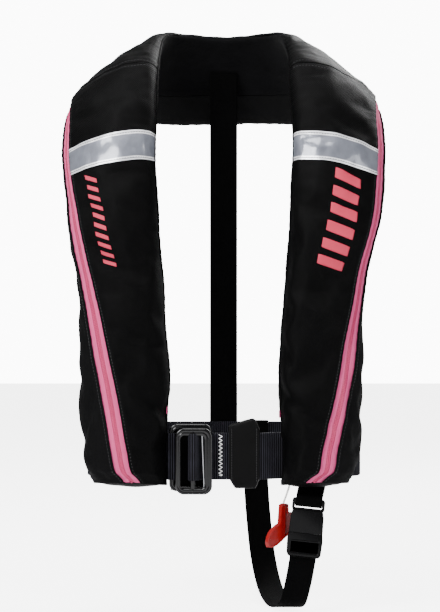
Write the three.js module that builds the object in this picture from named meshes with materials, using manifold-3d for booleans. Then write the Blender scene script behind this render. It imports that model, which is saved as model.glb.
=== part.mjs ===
// Horseshoe life jacket with a zipped cover over a folded gas bladder, a waist belt with a
// two-frame buckle, and a crotch strap with a side-release buckle.
// Millimetres. +X is the wearer's left, -Y the wearer's front, +Z up. The origin is the point
// midway between the wearer's shoulders that the yoke rests on.
import * as THREE from 'three';
import { mergeVertices } from 'three/addons/utils/BufferGeometryUtils.js';
import Module from 'manifold-3d';

const wasm = await Module();
wasm.setup();

// ---------------------------------------------------------------- driving dimensions
const clearance = 0.3;               // between pieces that touch

const jacket = {
  hemDrop: 437,                      // shoulder seat down to the hem of both lobes
  chestDepth: 97,                    // shoulder seat forward to the inner edge of the lobes
  collarBack: 136,                   // shoulder seat back to the rear edge of the collar
  collarRise: 50,                    // shoulder seat up to the inner edge of the collar
  neckHalf: 70,                      // half the gap between the lobes at the neck
  shoulderHalf: 169,                 // half the width over both shoulders
  leftTaper: 0.955,                  // the left lobe is packed this much narrower below the chest
  padThickness: 42,                  // lobe packed with its folded bladder
};
const cover = { thickness: 1.8, arch: 5, seamGap: 0.4 };
const bladderDepth = 4.2;            // bladder skin below the outer face of the cover
const zip = { window: 17, tapeWidth: 8.9, tuck: 3, tapeThick: 0.8, coilWidth: 4.2, hemSweep: 66,
  leftShare: 0.8 };                 // the zip keeps further out on the left lobe
const parkGap = 28;                  // toothless length where the slider is parked
const reflector = { width: 25, thickness: 0.5, lift: 0.8, drop: 93, slope: 13 };

const belt = { width: 50, thickness: 1.8, low: 7 - jacket.hemDrop, halfWidth: 149, backY: 99.9, frontY: -100 };
const beltTop = belt.low + belt.width;
const frameBar = { female: 5, male: 4.3, roundBar: 2.8, innerCorner: 3 };
const femaleFrame = { left: -58.4, right: -13.2, low: belt.low - 12,
  high: beltTop + 9.5, thickness: 4 };
const maleFrame = { left: -51.5, right: -12.5, low: belt.low - 14.5,
  high: beltTop + 5.5, thickness: 4.5, bar: -33 };
const frameSpacing = 5.2;            // free depth between the two frames
const keeper = { left: 4.5, right: 38, low: belt.low - 10, high: beltTop + 16, thickness: 1.2,
  depth: 9.6 };

const webbing = { width: 28.5, thickness: 1.3 };
const buckle = {
  x: 88, y: -90, z: belt.low - 52, tilt: 6,   // middle of the side-release buckle, tilt in degrees
  femaleWidth: webbing.width + 6.5, maleWidth: webbing.width + 9.5, thickness: 11, wall: 2, bodyLow: -5.5, bodyHigh: 18.5,
  ringHigh: 31, slotLow: 20.5, slotHigh: 24.5, ringThick: 5, mouthHalf: webbing.width / 2 + 0.25,
};
const backStrap = { width: 32, thickness: 1.8 };
const hanger = { width: 8, reach: 28, half: 13, thickness: 1.2 };

const inflator = { x: 103, y: -109, width: 28, depth: 21, low: 35 - jacket.hemDrop,
  high: 78 - jacket.hemDrop };
const cylinder = { radius: 12.6, neckRadius: 8, length: 136 };
const lever = { reach: 20, thickness: 5.6, pivotX: -6, pivotZ: 10, restAngle: 30 };
const pullCord = { diameter: 2.2, holeX: 69.1, holeY: -100 };
const handle = { x: 64, y: -86, z: -456, thickness: 4.4, turn: 46 };
const oral = { x: -99, y: -109, low: 102 - jacket.hemDrop, bend: 9, tubeRadius: 6, boreRadius: 4,
  high: 222 - jacket.hemDrop };

// ---------------------------------------------------------------- materials
const paint = (color, roughness, metalness = 0) =>
  new THREE.MeshStandardMaterial({ color, roughness, metalness });
const coverCloth = paint('#141416', 0.85);
const liningCloth = paint('#1b1b1f', 0.95);
const zipPink = paint('#e8709f', 0.7);
const coilPink = paint('#c8507f', 0.5);
const silverTape = paint('#b4b7c4', 0.35, 0.2);
const blackWebbing = paint('#161618', 0.8);
const gunmetal = paint('#2a2b30', 0.22, 1);
const blackAcetal = paint('#101012', 0.45);
const redPlastic = paint('#b8281e', 0.25);
const whiteCord = paint('#f0efee', 0.6);
const bladderFilm = paint('#e6c62a', 0.5);
const paintedSteel = paint('#3c4a3f', 0.35, 0.7);
const plainSteel = paint('#9a9da2', 0.3, 1);
const greyPlastic = paint('#55585e', 0.5);
const orangeRubber = paint('#d9662a', 0.6);

// ---------------------------------------------------------------- solids
const group = new THREE.Group();
const vec2 = (u, v) => new THREE.Vector2(u, v);
const vec3 = (x, y, z) => new THREE.Vector3(x, y, z);

function add(name, geometry, material, parent = group) {
  const mesh = new THREE.Mesh(geometry, material);
  mesh.name = name;
  parent.add(mesh);
  return mesh;
}

// Faces are turned out: a closed mesh has positive volume when they are.
function closedGeometry(points, triangles) {
  let volume = 0;
  for (const [i, j, k] of triangles) {
    volume += points[i].dot(points[j].clone().cross(points[k]));
  }
  const order = volume < 0 ? ([i, j, k]) => [i, k, j] : (triangle) => triangle;
  const geometry = new THREE.BufferGeometry();
  geometry.setFromPoints(points);
  geometry.setIndex(triangles.flatMap(order));
  return geometry;
}

// A sheet with thickness: point(u, v, face) gives its outer (face 0) and inner (face 1) side.
function slab(us, vs, point) {
  const points = [];
  const triangles = [];
  const at = (i, j, face) => (face * us.length + i) * vs.length + j;
  const quad = (a, b, c, d) => triangles.push([a, b, c], [a, c, d]);
  for (const face of [0, 1]) {
    for (const u of us) {
      for (const v of vs) points.push(point(u, v, face));
    }
  }
  const lastRow = us.length - 1;
  const lastCol = vs.length - 1;
  for (let i = 0; i < lastRow; i++) {
    for (let j = 0; j < lastCol; j++) {
      quad(at(i, j, 0), at(i + 1, j, 0), at(i + 1, j + 1, 0), at(i, j + 1, 0));
      quad(at(i, j, 1), at(i, j + 1, 1), at(i + 1, j + 1, 1), at(i + 1, j, 1));
    }
    quad(at(i, 0, 0), at(i, 0, 1), at(i + 1, 0, 1), at(i + 1, 0, 0));
    quad(at(i, lastCol, 0), at(i + 1, lastCol, 0), at(i + 1, lastCol, 1), at(i, lastCol, 1));
  }
  for (let j = 0; j < lastCol; j++) {
    quad(at(0, j, 0), at(0, j + 1, 0), at(0, j + 1, 1), at(0, j, 1));
    quad(at(lastRow, j, 0), at(lastRow, j, 1), at(lastRow, j + 1, 1), at(lastRow, j + 1, 0));
  }
  return closedGeometry(points, triangles);
}

// A solid through closed rings of equally many points, with a flat fan at each end.
function loft(rings) {
  const count = rings[0].length;
  const points = rings.flat();
  const triangles = [];
  rings.slice(1).forEach((ring, r) => {
    for (let j = 0; j < count; j++) {
      const a = r * count + j;
      const b = r * count + (j + 1) % count;
      triangles.push([a, a + count, b + count], [a, b + count, b]);
    }
  });
  const centre = (ring) => ring.reduce((sum, p) => sum.add(p), new THREE.Vector3()).divideScalar(count);
  const first = points.push(centre(rings[0])) - 1;
  const last = points.push(centre(rings.at(-1))) - 1;
  for (let j = 0; j < count; j++) {
    const next = (j + 1) % count;
    const top = (rings.length - 1) * count;
    triangles.push([first, j, next], [last, top + next, top + j]);
  }
  return closedGeometry(points, triangles);
}

// Outlines drawn in two world axes (y,z or x,z or x,y) are pushed along the third one.
const axes = {
  x: { basis: [vec3(0, 1, 0), vec3(0, 0, 1), vec3(1, 0, 0)], sense: 1 },
  y: { basis: [vec3(1, 0, 0), vec3(0, 0, 1), vec3(0, -1, 0)], sense: -1 },
  z: { basis: [vec3(1, 0, 0), vec3(0, 1, 0), vec3(0, 0, 1)], sense: 1 },
};

function extrude(shape, axis, from, to, curveSegments = 5) {
  const { basis, sense } = axes[axis];
  const geometry = new THREE.ExtrudeGeometry(shape, {
    depth: Math.abs(to - from), bevelEnabled: false, curveSegments,
  });
  geometry.translate(0, 0, Math.min(sense * from, sense * to));
  geometry.applyMatrix4(new THREE.Matrix4().makeBasis(...basis));
  return geometry;
}

const block = (x0, x1, y0, y1, z0, z1) =>
  new THREE.BoxGeometry(x1 - x0, y1 - y0, z1 - z0)
    .translate((x0 + x1) / 2, (y0 + y1) / 2, (z0 + z1) / 2);

function roundedRect(u0, u1, v0, v1, r, outline = new THREE.Shape()) {
  outline.absarc(u1 - r, v0 + r, r, -Math.PI / 2, 0);
  outline.absarc(u1 - r, v1 - r, r, 0, Math.PI / 2);
  outline.absarc(u0 + r, v1 - r, r, Math.PI / 2, Math.PI);
  outline.absarc(u0 + r, v0 + r, r, Math.PI, Math.PI * 1.5);
  outline.closePath();
  return outline;
}

// A flat strip that follows a bent line, with mitred corners.
function stripShape(line, thickness) {
  const sideways = line.map((point, i) => {
    const before = line[Math.max(i - 1, 0)];
    const after = line[Math.min(i + 1, line.length - 1)];
    const into = (i ? point.clone().sub(before) : after.clone().sub(point)).normalize();
    const out = (i < line.length - 1 ? after.clone().sub(point) : into.clone()).normalize();
    const middle = into.clone().add(out).normalize();
    const normal = new THREE.Vector2(-middle.y, middle.x);
    return normal.multiplyScalar(thickness / 2 / middle.dot(out));
  });
  const left = line.map((point, i) => point.clone().add(sideways[i]));
  const right = line.map((point, i) => point.clone().sub(sideways[i]));
  return new THREE.Shape([...left, ...right.reverse()]);
}

// Webbing along centre points, each with the direction its width lies in.
function ribbon(centres, acrossAt, width, thickness) {
  const rows = centres.map((centre, i) => {
    const before = centres[Math.max(i - 1, 0)];
    const after = centres[Math.min(i + 1, centres.length - 1)];
    const into = (i ? centre.clone().sub(before) : after.clone().sub(centre)).normalize();
    const out = (i < centres.length - 1 ? after.clone().sub(centre) : into.clone()).normalize();
    const across = acrossAt(i);
    const along = into.clone().add(out).normalize();
    const up = along.clone().cross(across).normalize();
    const segmentUp = out.clone().cross(across).normalize();
    return { centre, across, up: up.multiplyScalar(1 / up.dot(segmentUp)) };
  });
  return slab(rows.keys().toArray(), [-0.5, 0.5], (i, side, face) => rows[i].centre.clone()
    .addScaledVector(rows[i].across, side * width)
    .addScaledVector(rows[i].up, (0.5 - face) * thickness));
}

function turned(profile, segments = 24) {
  const line = profile.map(([r, h]) => vec2(r, h));
  return new THREE.LatheGeometry(line, segments).rotateX(Math.PI / 2);
}

function toSolid(geometry) {
  const bare = geometry.clone();
  bare.deleteAttribute('normal');
  bare.deleteAttribute('uv');
  const merged = mergeVertices(bare, 1e-4);
  return new wasm.Manifold(new wasm.Mesh({
    numProp: 3,
    vertProperties: new Float32Array(merged.attributes.position.array),
    triVerts: new Uint32Array(merged.index.array),
  }));
}

function toGeometry(solid) {
  const mesh = solid.getMesh();
  const geometry = new THREE.BufferGeometry();
  geometry.setAttribute('position', new THREE.BufferAttribute(mesh.vertProperties, 3));
  geometry.setIndex(new THREE.BufferAttribute(mesh.triVerts, 1));
  return geometry;
}

const cut = (body, ...tools) =>
  toGeometry(tools.reduce((solid, tool) => solid.subtract(toSolid(tool)), toSolid(body)));
const join = (body, ...others) =>
  toGeometry(others.reduce((solid, other) => solid.add(toSolid(other)), toSolid(body)));

// ---------------------------------------------------------------- the horseshoe band
// Stations from the nape to the hem. Inner and outer edge are shares of the driving sizes: x of
// neckHalf or shoulderHalf, y of chestDepth in front and collarBack behind, z of hemDrop below
// and collarRise above. Then the share of the full thickness, and how far the zip lies in from
// the outer edge as a share of its sweep at the hem.
const stations = [
  [0.000, 0.515, 1.180, 0.000, 1.000, -0.075, 0.70, 0.12],
  [0.514, 0.456, 1.200, 0.488, 0.897, -0.080, 0.70, 0.12],
  [0.800, 0.294, 1.160, 0.767, 0.618, -0.085, 0.65, 0.12],
  [0.930, 0.030, 0.700, 0.905, 0.250, -0.075, 0.65, 0.13],
  [0.955, -0.350, 0.130, 0.970, -0.020, -0.092, 0.74, 0.16],
  [0.965, -0.660, -0.090, 0.995, -0.290, -0.140, 0.85, 0.19],
  [0.985, -0.887, -0.201, 0.990, -0.515, -0.222, 0.93, 0.23],
  [0.935, -1.000, -0.343, 0.955, -0.680, -0.348, 0.98, 0.34],
  [0.860, -1.000, -0.526, 0.890, -0.742, -0.526, 1.00, 0.50],
  [0.785, -0.980, -0.737, 0.886, -0.742, -0.737, 1.00, 0.84],
  [0.842, -0.950, -0.915, 0.865, -0.722, -0.906, 1.00, 1.02],
  [0.842, -0.950, -0.970, 0.828, -0.742, -0.966, 0.90, 1.04],
  [0.845, -0.940, -1.000, 0.795, -0.825, -0.998, 0.57, 1.03],
];
const hem = stations.length - 1;
const shoulderSeam = 4;              // station where the lobe covers meet the collar's
const rowsPerStation = 2;

const edgePoint = (side, half, x, y, z) => vec3(
  side * x * half,
  y * (y < 0 ? jacket.chestDepth : jacket.collarBack),
  z * (z < 0 ? jacket.hemDrop : jacket.collarRise),
);
const alongBand = (pick) => new THREE.CatmullRomCurve3([
  ...stations.slice(1).reverse().map((station) => pick(-1, station)),
  ...stations.map((station) => pick(1, station)),
]);
const innerEdge = alongBand((side, [x, y, z]) => edgePoint(side, jacket.neckHalf, x, y, z));
const tapered = (side, z) => (side > 0 && z < -0.4 ? jacket.leftTaper : 1);
const outerEdge = alongBand((side, [, , , x, y, z]) =>
  edgePoint(side, jacket.shoulderHalf * tapered(side, z), x, y, z));
const padAndZip = alongBand((side, [, , , , , , pad, sweep]) =>
  vec3(pad * jacket.padThickness, sweep * zip.hemSweep * (side > 0 ? zip.leftShare : 1), 0));
const bandShare = (s) => (s + hem) / (2 * hem);

// The section across the band at station s (negative on the wearer's right): a rounded D,
// listed by arc length from the inner edge over the front to the outer edge and back behind.
const sectionSamples = 96;
const sections = new Map();
function section(s) {
  if (sections.has(s)) return sections.get(s);
  const [inner, outer, pad] = [innerEdge, outerEdge, padAndZip].map((c) => c.getPoint(bandShare(s)));
  const step = s > 0 ? -0.01 : 0.01;
  const middle = (at) => innerEdge.getPoint(bandShare(at)).add(outerEdge.getPoint(bandShare(at)));
  const along = middle(s + step).sub(middle(s)).multiplyScalar(Math.sign(step)).normalize();
  const across = outer.clone().sub(inner);
  const width = across.length();
  across.normalize();
  const outward = along.clone().cross(across).normalize();
  const waist = 0.35 * pad.x;
  const loop = [];
  for (let k = 0; k <= sectionSamples; k++) {
    const angle = (2 * Math.PI * k) / sectionSamples;
    const side = Math.cos(angle);
    const rise = Math.sin(angle);
    const a = -Math.sign(side) * Math.abs(side) ** 0.65;
    const height = rise < 0 ? waist : pad.x - waist;
    const h = waist + height * Math.sign(rise) * Math.abs(rise) ** 0.75 + cover.arch * (1 - a * a);
    loop.push({ a: (a * width) / 2, h, length: 0 });
  }
  for (let k = 1; k < loop.length; k++) {
    loop[k].length = loop[k - 1].length + Math.hypot(loop[k].a - loop[k - 1].a, loop[k].h - loop[k - 1].h);
  }
  loop.forEach((point, k) => {
    const before = loop[k ? k - 1 : sectionSamples - 1];
    const after = loop[k < sectionSamples ? k + 1 : 1];
    const run = Math.hypot(after.a - before.a, after.h - before.h);
    point.normalA = -(after.h - before.h) / run;
    point.normalH = (after.a - before.a) / run;
  });
  const found = {
    inner, outer, across, along, outward, loop, width, thickness: pad.x,
    front: loop[sectionSamples / 2].length,
    total: loop[sectionSamples].length,
    zipAt: loop[sectionSamples / 2].length - pad.y,
  };
  sections.set(s, found);
  return found;
}

// A point on the section at arc length l, the given depth under the outer face.
function exactSkin(s, l, depth) {
  const cross = section(s);
  const k = Math.max(1, cross.loop.findIndex((point) => point.length >= l));
  const [p, q] = [cross.loop[k - 1], cross.loop[k]];
  const f = (l - p.length) / (q.length - p.length);
  const mix = (name) => p[name] + (q[name] - p[name]) * f;
  const middle = cross.inner.clone().add(cross.outer).multiplyScalar(0.5);
  return middle
    .addScaledVector(cross.across, mix('a') - depth * mix('normalA'))
    .addScaledVector(cross.outward, mix('h') - depth * mix('normalH'));
}

// Every layer shares the same rows and is straight between them, so layers never cross.
function skin(s, lengthAt, depth) {
  const row = Math.floor(s * rowsPerStation + 1e-6);
  const share = s * rowsPerStation - row;
  const point = (k) => exactSkin(k / rowsPerStation, lengthAt(section(k / rowsPerStation)), depth);
  return share < 1e-6 ? point(row) : point(row).lerp(point(row + 1), share);
}

function bandRows(from, to) {
  const rows = [from];
  for (let k = Math.floor(from * rowsPerStation) + 1; k < to * rowsPerStation - 1e-6; k++) {
    rows.push(k / rowsPerStation);
  }
  return [...rows, to];
}

const seamMargin = 1;
const halfWindow = zip.window / 2;
const spread = (count) => Array.from({ length: count + 1 }, (_, k) => k / count);

// Columns over the front: from the inner edge to the zip, the last two above the zip tape.
const frontEdge = (cross) => cross.zipAt - halfWindow - zip.tuck;
const frontColumns = [
  ...spread(8).map((f) => (cross) => seamMargin + f * (frontEdge(cross) - seamMargin)),
  (cross) => cross.zipAt - halfWindow,
];
const rearEdge = (cross) => cross.zipAt + halfWindow + zip.tuck;
const rearEnd = (cross) => cross.total - seamMargin;
const rearColumns = [
  (cross) => cross.zipAt + halfWindow,
  ...spread(9).map((f) => (cross) => rearEdge(cross) + f * (rearEnd(cross) - rearEdge(cross))),
];

const panel = (rows, columns, top, thickness) =>
  slab(rows, columns, (s, column, face) => skin(s, column, top + face * thickness));

const seamStep = 0.006;
const spans = {
  right: [-hem, -shoulderSeam - seamStep],
  left: [shoulderSeam + seamStep, hem],
  collar: [-shoulderSeam + seamStep, shoulderSeam - seamStep],
};
for (const [side, [from, to]] of Object.entries(spans)) {
  const rows = bandRows(from, to);
  add(`${side}_front_cover`, panel(rows, frontColumns, 0, cover.thickness), coverCloth);
  const rearCount = side === 'collar' ? 5 : rearColumns.length;
  add(`${side}_rear_cover`, panel(rows, rearColumns.slice(0, rearCount), 0, cover.thickness), coverCloth);
}

// The collar's neck side is a soft lining that starts where the rear cover stops.
const liningStart = (cross) => rearColumns[4](cross) + cover.seamGap;
const liningColumns = spread(5).map((f) => (cross) =>
  liningStart(cross) + f * (rearEnd(cross) - liningStart(cross)));
add('collar_lining', panel(bandRows(...spans.collar), liningColumns, 0, cover.thickness), liningCloth);

// ---------------------------------------------------------------- hem gussets
const gussetThick = 0.13;            // in stations, near the hem
const gussetColumns = [...frontColumns, ...rearColumns];
function gusset(side) {
  const ring = (s) => gussetColumns.map((column) => skin(side * s, column, cover.thickness + 4 * clearance));
  return loft([ring(hem), ring(hem - gussetThick)]);
}
add('right_hem_gusset', gusset(-1), coverCloth);
// The pull cord runs straight from the lever through the hem, so the hole lies along it.
const cordRoute = [
  vec3(79.9, inflator.y, -386.2),
  vec3(pullCord.holeX, pullCord.holeY, -438.5),
  vec3(66.6, -95, -447),
  vec3(handle.x, handle.y, handle.z + clearance),
];
const cordDirection = cordRoute[0].clone().sub(cordRoute[1]).normalize();
const cordHole = new THREE.CylinderGeometry(2, 2, 60, 12)
  .applyQuaternion(new THREE.Quaternion().setFromUnitVectors(vec3(0, 1, 0), cordDirection))
  .translate(cordRoute[1].x, cordRoute[1].y, cordRoute[1].z);
add('left_hem_gusset', cut(gusset(1), cordHole), coverCloth);

// ---------------------------------------------------------------- bladder
// One folded gas bladder fills the horseshoe, with a pocket in front for each fitting.
const bladderEnd = hem - 0.35;
const bladderBody = loft(bandRows(-bladderEnd, bladderEnd).map((s) =>
  gussetColumns.map((column) => skin(s, column, bladderDepth))));
const pocketBack = inflator.y + inflator.depth / 2 + 3.6;
const inflatorPocket = block(40, inflator.x + 16, -200, pocketBack, inflator.low - 98,
  inflator.high + cylinder.length + 6);
const oralPocket = block(oral.x - 20, -40, -200, pocketBack, oral.low - 22, oral.high + 34);
add('gas_bladder', cut(bladderBody, inflatorPocket, oralPocket), bladderFilm);

// ---------------------------------------------------------------- burst zip
// Two tapes run under the edges of the cover, with a coil between them on either side of the
// toothless length at the nape.
const zipEnd = hem - 0.17;
const tapeTop = cover.thickness + clearance;
const coilHalf = zip.coilWidth / 2;
const tapeOuter = zip.window / 2 + zip.tuck;
const zipColumns = (...offsets) => offsets.map((offset) => (cross) => cross.zipAt + offset);
const tapeInner = tapeOuter - zip.tapeWidth;
const zipRows = bandRows(-zipEnd, zipEnd);
add('zip_tape_front', panel(zipRows, zipColumns(-tapeOuter, -halfWindow, -tapeInner),
  tapeTop, zip.tapeThick), zipPink);
add('zip_tape_rear', panel(zipRows, zipColumns(tapeInner, halfWindow, tapeOuter),
  tapeTop, zip.tapeThick), zipPink);
const coilDepth = 1.7;
const coilThick = 1.6;
const napeStationLength = innerEdge.getPoint(bandShare(1)).add(outerEdge.getPoint(bandShare(1)))
  .multiplyScalar(0.5).x;
const coilStart = parkGap / 2 / napeStationLength;
for (const [side, from, to] of [['right', -zipEnd, -coilStart], ['left', coilStart, zipEnd]]) {
  add(`${side}_zip_coil`, panel(bandRows(from, to), zipColumns(-coilHalf, coilHalf),
    coilDepth, coilThick), coilPink);
}

// Slider: two plates joined by a neck between the tapes, with a lug for the pull.
const nape = section(0);
const sliderDepth = (depth) => exactSkin(0, nape.zipAt, depth);
const sliderOut = sliderDepth(0).sub(sliderDepth(1)).normalize();
const sliderAcross = vec3(1, 0, 0).cross(sliderOut).normalize();
const sliderFrame = new THREE.Group();
sliderFrame.applyMatrix4(new THREE.Matrix4().makeBasis(vec3(1, 0, 0), sliderAcross, sliderOut.negate())
  .setPosition(sliderDepth(0)));
group.add(sliderFrame);
const slider = { half: 3.3, length: 11, lugRadius: 2.4, pinRadius: 0.8, lugHalf: 0.8 };
const plateGap = 1.4;
const lowerPlate = tapeTop + zip.tapeThick + plateGap;
const upperPlate = tapeTop - plateGap;
const sliderBlock = (width, from, to, half = slider.length / 2) =>
  block(-half, half, -width, width, from, to);
const lugHigh = upperPlate - 1.2 - slider.lugRadius - 0.6;
const lug = new THREE.CylinderGeometry(slider.lugRadius, slider.lugRadius, 2 * slider.lugHalf, 16)
  .translate(0, 0, lugHigh);
const lugEye = new THREE.CylinderGeometry(slider.pinRadius + clearance, slider.pinRadius + clearance, 6, 12)
  .translate(0, 0, lugHigh);
const lugPost = block(-slider.lugRadius, slider.lugRadius, -slider.lugHalf, slider.lugHalf,
  lugHigh, upperPlate - 0.6);
add('zip_slider', cut(join(
  sliderBlock(slider.half, upperPlate - 1.2, upperPlate),
  sliderBlock(slider.half, lowerPlate, lowerPlate + 1.2),
  sliderBlock(1, upperPlate - 0.6, lowerPlate + 0.6),
  lugPost,
  lug,
), lugEye), gunmetal, sliderFrame);

// The pull is a frame whose top bar runs through the lug, with a long tab beyond it.
const pull = { window: 6.4, half: 3.6, length: 24, thick: 1.4 };
const pullPlate = roundedRect(-1.6, pull.length, -pull.half, pull.half, 1.4);
pullPlate.holes.push(roundedRect(1.1, pull.window, -1.6, 1.6, 0.4, new THREE.Path()));
const pullBar = new THREE.CylinderGeometry(slider.pinRadius, slider.pinRadius, 2 * pull.half - 1, 12);
const pullEar = block(-1.7, slider.pinRadius + 0.3, -1.6, 1.6, -2, 2);
add('zip_pull', join(
  cut(extrude(pullPlate, 'z', -pull.thick / 2, pull.thick / 2), pullEar),
  pullBar,
), gunmetal, sliderFrame).position.set(0, 0, lugHigh);

// ---------------------------------------------------------------- reflective tape
// Each tape crosses the front cover and falls a little towards the outer edge.
function stationAtHeight(z) {
  let [low, high] = [shoulderSeam, hem];
  for (let k = 0; k < 30; k++) {
    const s = (low + high) / 2;
    if (section(s).inner.z + section(s).outer.z > 2 * z) low = s;
    else high = s;
  }
  return low;
}
function reflectiveTape(side) {
  const rowAt = (column, share, drop) => {
    const column01 = share / (frontColumns.length - 2);
    const z = -(reflector.drop + drop + reflector.slope * (column01 - 0.5));
    return side * stationAtHeight(z);
  };
  const tapeColumns = frontColumns.slice(1, -1);
  return slab(spread(4), tapeColumns, (f, column, face) => {
    const s = rowAt(column, frontColumns.indexOf(column), (f - 0.5) * reflector.width);
    return skin(s, column, -reflector.lift - (1 - face) * reflector.thickness);
  });
}
add('right_reflective_tape', reflectiveTape(-1), silverTape);
add('left_reflective_tape', reflectiveTape(1), silverTape);

// ---------------------------------------------------------------- waist belt
const beltHigh = belt.low + belt.width;
const atBelt = section(stationAtHeight((belt.low + beltHigh) / 2));
const beltGap = 6;                   // room behind the lobes for the loops that carry the belt
const layer = belt.thickness + clearance;
const innerBend = vec2(atBelt.inner.x + 3, atBelt.inner.y + beltGap);
const outerBend = vec2(atBelt.outer.x - 5, atBelt.outer.y + beltGap);
const mirrored = (point) => vec2(-point.x, point.y);
const beltSide = [
  vec2(belt.halfWidth - 1, outerBend.y + 14),
  vec2(belt.halfWidth, -30),
  vec2(belt.halfWidth - 1, 12),
  vec2(belt.halfWidth - 12, 52),
  vec2(belt.halfWidth - 41, 84),
  vec2(belt.halfWidth - 79, belt.backY - 2),
  vec2(belt.halfWidth - 91, belt.backY),
];
const femaleBack = belt.frontY - belt.thickness / 2 - 0.4;
const femaleFront = femaleBack - femaleFrame.thickness;
const maleBack = femaleFront - frameSpacing;
const maleFront = maleBack - maleFrame.thickness;
const barY = (maleBack + maleFront) / 2;
const wrapRadius = frameBar.roundBar + clearance + 0.1 + belt.thickness / 2;
const wrap = [];
for (let k = 0; k <= 8; k++) {
  const angle = THREE.MathUtils.degToRad(147 + (327 - 147) * (k / 8));
  wrap.push(vec2(maleFrame.bar + wrapRadius * Math.cos(angle), barY + wrapRadius * Math.sin(angle)));
}
const secondLayerY = belt.frontY + layer;
const femaleInside = femaleFrame.left + frameBar.female;
const barWrap = clearance + belt.thickness / 2;
const beltLine = [
  vec2(3, secondLayerY),
  vec2(maleFrame.bar + 5.5, secondLayerY),
  ...wrap,
  vec2(maleFrame.bar + 12.8, belt.frontY),
  vec2(innerBend.x - 22, belt.frontY),
  innerBend,
  outerBend,
  ...beltSide,
  ...beltSide.map(mirrored).reverse(),
  mirrored(outerBend),
  mirrored(innerBend),
  vec2(femaleFrame.left + 0.8, belt.frontY),
  vec2(femaleInside + barWrap, belt.frontY),
  vec2(femaleInside + barWrap, femaleFront - barWrap),
  vec2(femaleFrame.left - barWrap, femaleFront - barWrap),
  vec2(femaleFrame.left - barWrap, belt.frontY - belt.thickness - 0.4),
];
add('waist_belt', extrude(stripShape(beltLine, belt.thickness), 'z', belt.low, beltHigh), blackWebbing);

// Two loops behind each lobe's rear cover hold the belt up.
function rearSkin(x, z, depth) {
  const side = Math.sign(x);
  let s = side * stationAtHeight(z);
  let point;
  for (let k = 0; k < 12; k++) {
    let [low, high] = [section(s).front, section(s).total];
    for (let n = 0; n < 24; n++) {
      const l = (low + high) / 2;
      point = skin(s, () => l, depth);
      if (side * point.x > side * x) low = l;
      else high = l;
    }
    s += side * (point.z - z) / 60;
  }
  return point;
}
const loop = { width: 20, thickness: 1.2, x: 122, tab: 6, room: 1.1, rest: 1.8 };
const beltRun = outerBend.clone().sub(innerBend).normalize();
const beltYAt = (x) => innerBend.y + ((x - innerBend.x) * beltRun.y) / beltRun.x;
function beltLoop(side) {
  const faceAt = (z) => rearSkin(side * loop.x, z, -loop.rest - loop.thickness / 2).y - beltYAt(loop.x);
  const behind = belt.thickness / 2 + loop.room;
  const [low, high] = [belt.low - 2.2, beltHigh + 2.2];
  const line = [
    vec2(faceAt(high + loop.tab), high + loop.tab),
    vec2(faceAt(high), high),
    vec2(behind, high),
    vec2(behind, low),
    vec2(faceAt(low), low),
    vec2(faceAt(low + loop.tab), low + loop.tab),
  ];
  const turn = side * Math.atan2(beltRun.y, beltRun.x);
  return extrude(stripShape(line, loop.thickness), 'x', -loop.width / 2, loop.width / 2)
    .rotateZ(turn)
    .translate(side * loop.x, beltYAt(loop.x), 0);
}
add('right_belt_loop', beltLoop(-1), blackWebbing);
add('left_belt_loop', beltLoop(1), blackWebbing);

// ---------------------------------------------------------------- waist buckle frames
function frameOutline(f, barWidth, radius) {
  const outline = roundedRect(f.left, f.right, f.low, f.high, radius);
  outline.holes.push(roundedRect(f.left + barWidth, f.right - barWidth, f.low + barWidth,
    f.high - barWidth, frameBar.innerCorner, new THREE.Path()));
  return outline;
}
add('female_waist_frame', extrude(frameOutline(femaleFrame, frameBar.female, 8), 'y',
  femaleBack, femaleFront), gunmetal);
const maleHalf = (maleFrame.high - maleFrame.low) / 2 - 1;
const maleBar = new THREE.CylinderGeometry(frameBar.roundBar, frameBar.roundBar, 2 * maleHalf, 16)
  .rotateX(Math.PI / 2)
  .translate(maleFrame.bar, barY, (maleFrame.high + maleFrame.low) / 2);
add('male_waist_frame', join(extrude(frameOutline(maleFrame, frameBar.male, 9), 'y',
  maleBack, maleFront), maleBar), gunmetal);

// Soft loop round both layers of the belt.
const keeperFront = belt.frontY - belt.thickness / 2 - 0.5 - keeper.thickness;
const keeperRing = roundedRect(keeperFront, keeperFront + keeper.depth, keeper.low, keeper.high, 4.4);
keeperRing.holes.push(roundedRect(keeperFront + keeper.thickness,
  keeperFront + keeper.depth - keeper.thickness, keeper.low + keeper.thickness,
  keeper.high - keeper.thickness, 3.2, new THREE.Path()));
add('belt_keeper', extrude(keeperRing, 'x', keeper.left, keeper.right), blackWebbing);

// ---------------------------------------------------------------- back strap
// From under the collar, where it leans in, down to the belt, folded round it and sewn to itself.
const strapInner = belt.backY - belt.thickness / 2 - clearance - backStrap.thickness / 2;
const strapOuter = belt.backY + belt.thickness / 2 + clearance + backStrap.thickness / 2;
const strapLean = { back: 6, length: 34 };
let [collarRear, collarNeck] = [section(0).front + 12, section(0).total];
for (let k = 0; k < 30; k++) {
  const l = (collarRear + collarNeck) / 2;
  if (exactSkin(0, l, 0).y > strapOuter - strapLean.back + backStrap.thickness / 2) collarRear = l;
  else collarNeck = l;
}
const strapTop = exactSkin(0, collarRear, 0).z - 2.2;
const strapLine = [
  vec2(strapInner, beltHigh - 14),
  vec2(strapInner, belt.low - 1.6),
  vec2(strapOuter, belt.low - 1.6),
  vec2(strapOuter, strapTop - strapLean.length),
  vec2(strapOuter - strapLean.back, strapTop),
];
add('back_strap', extrude(stripShape(strapLine, backStrap.thickness), 'x',
  -backStrap.width / 2, backStrap.width / 2), blackWebbing);

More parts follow.
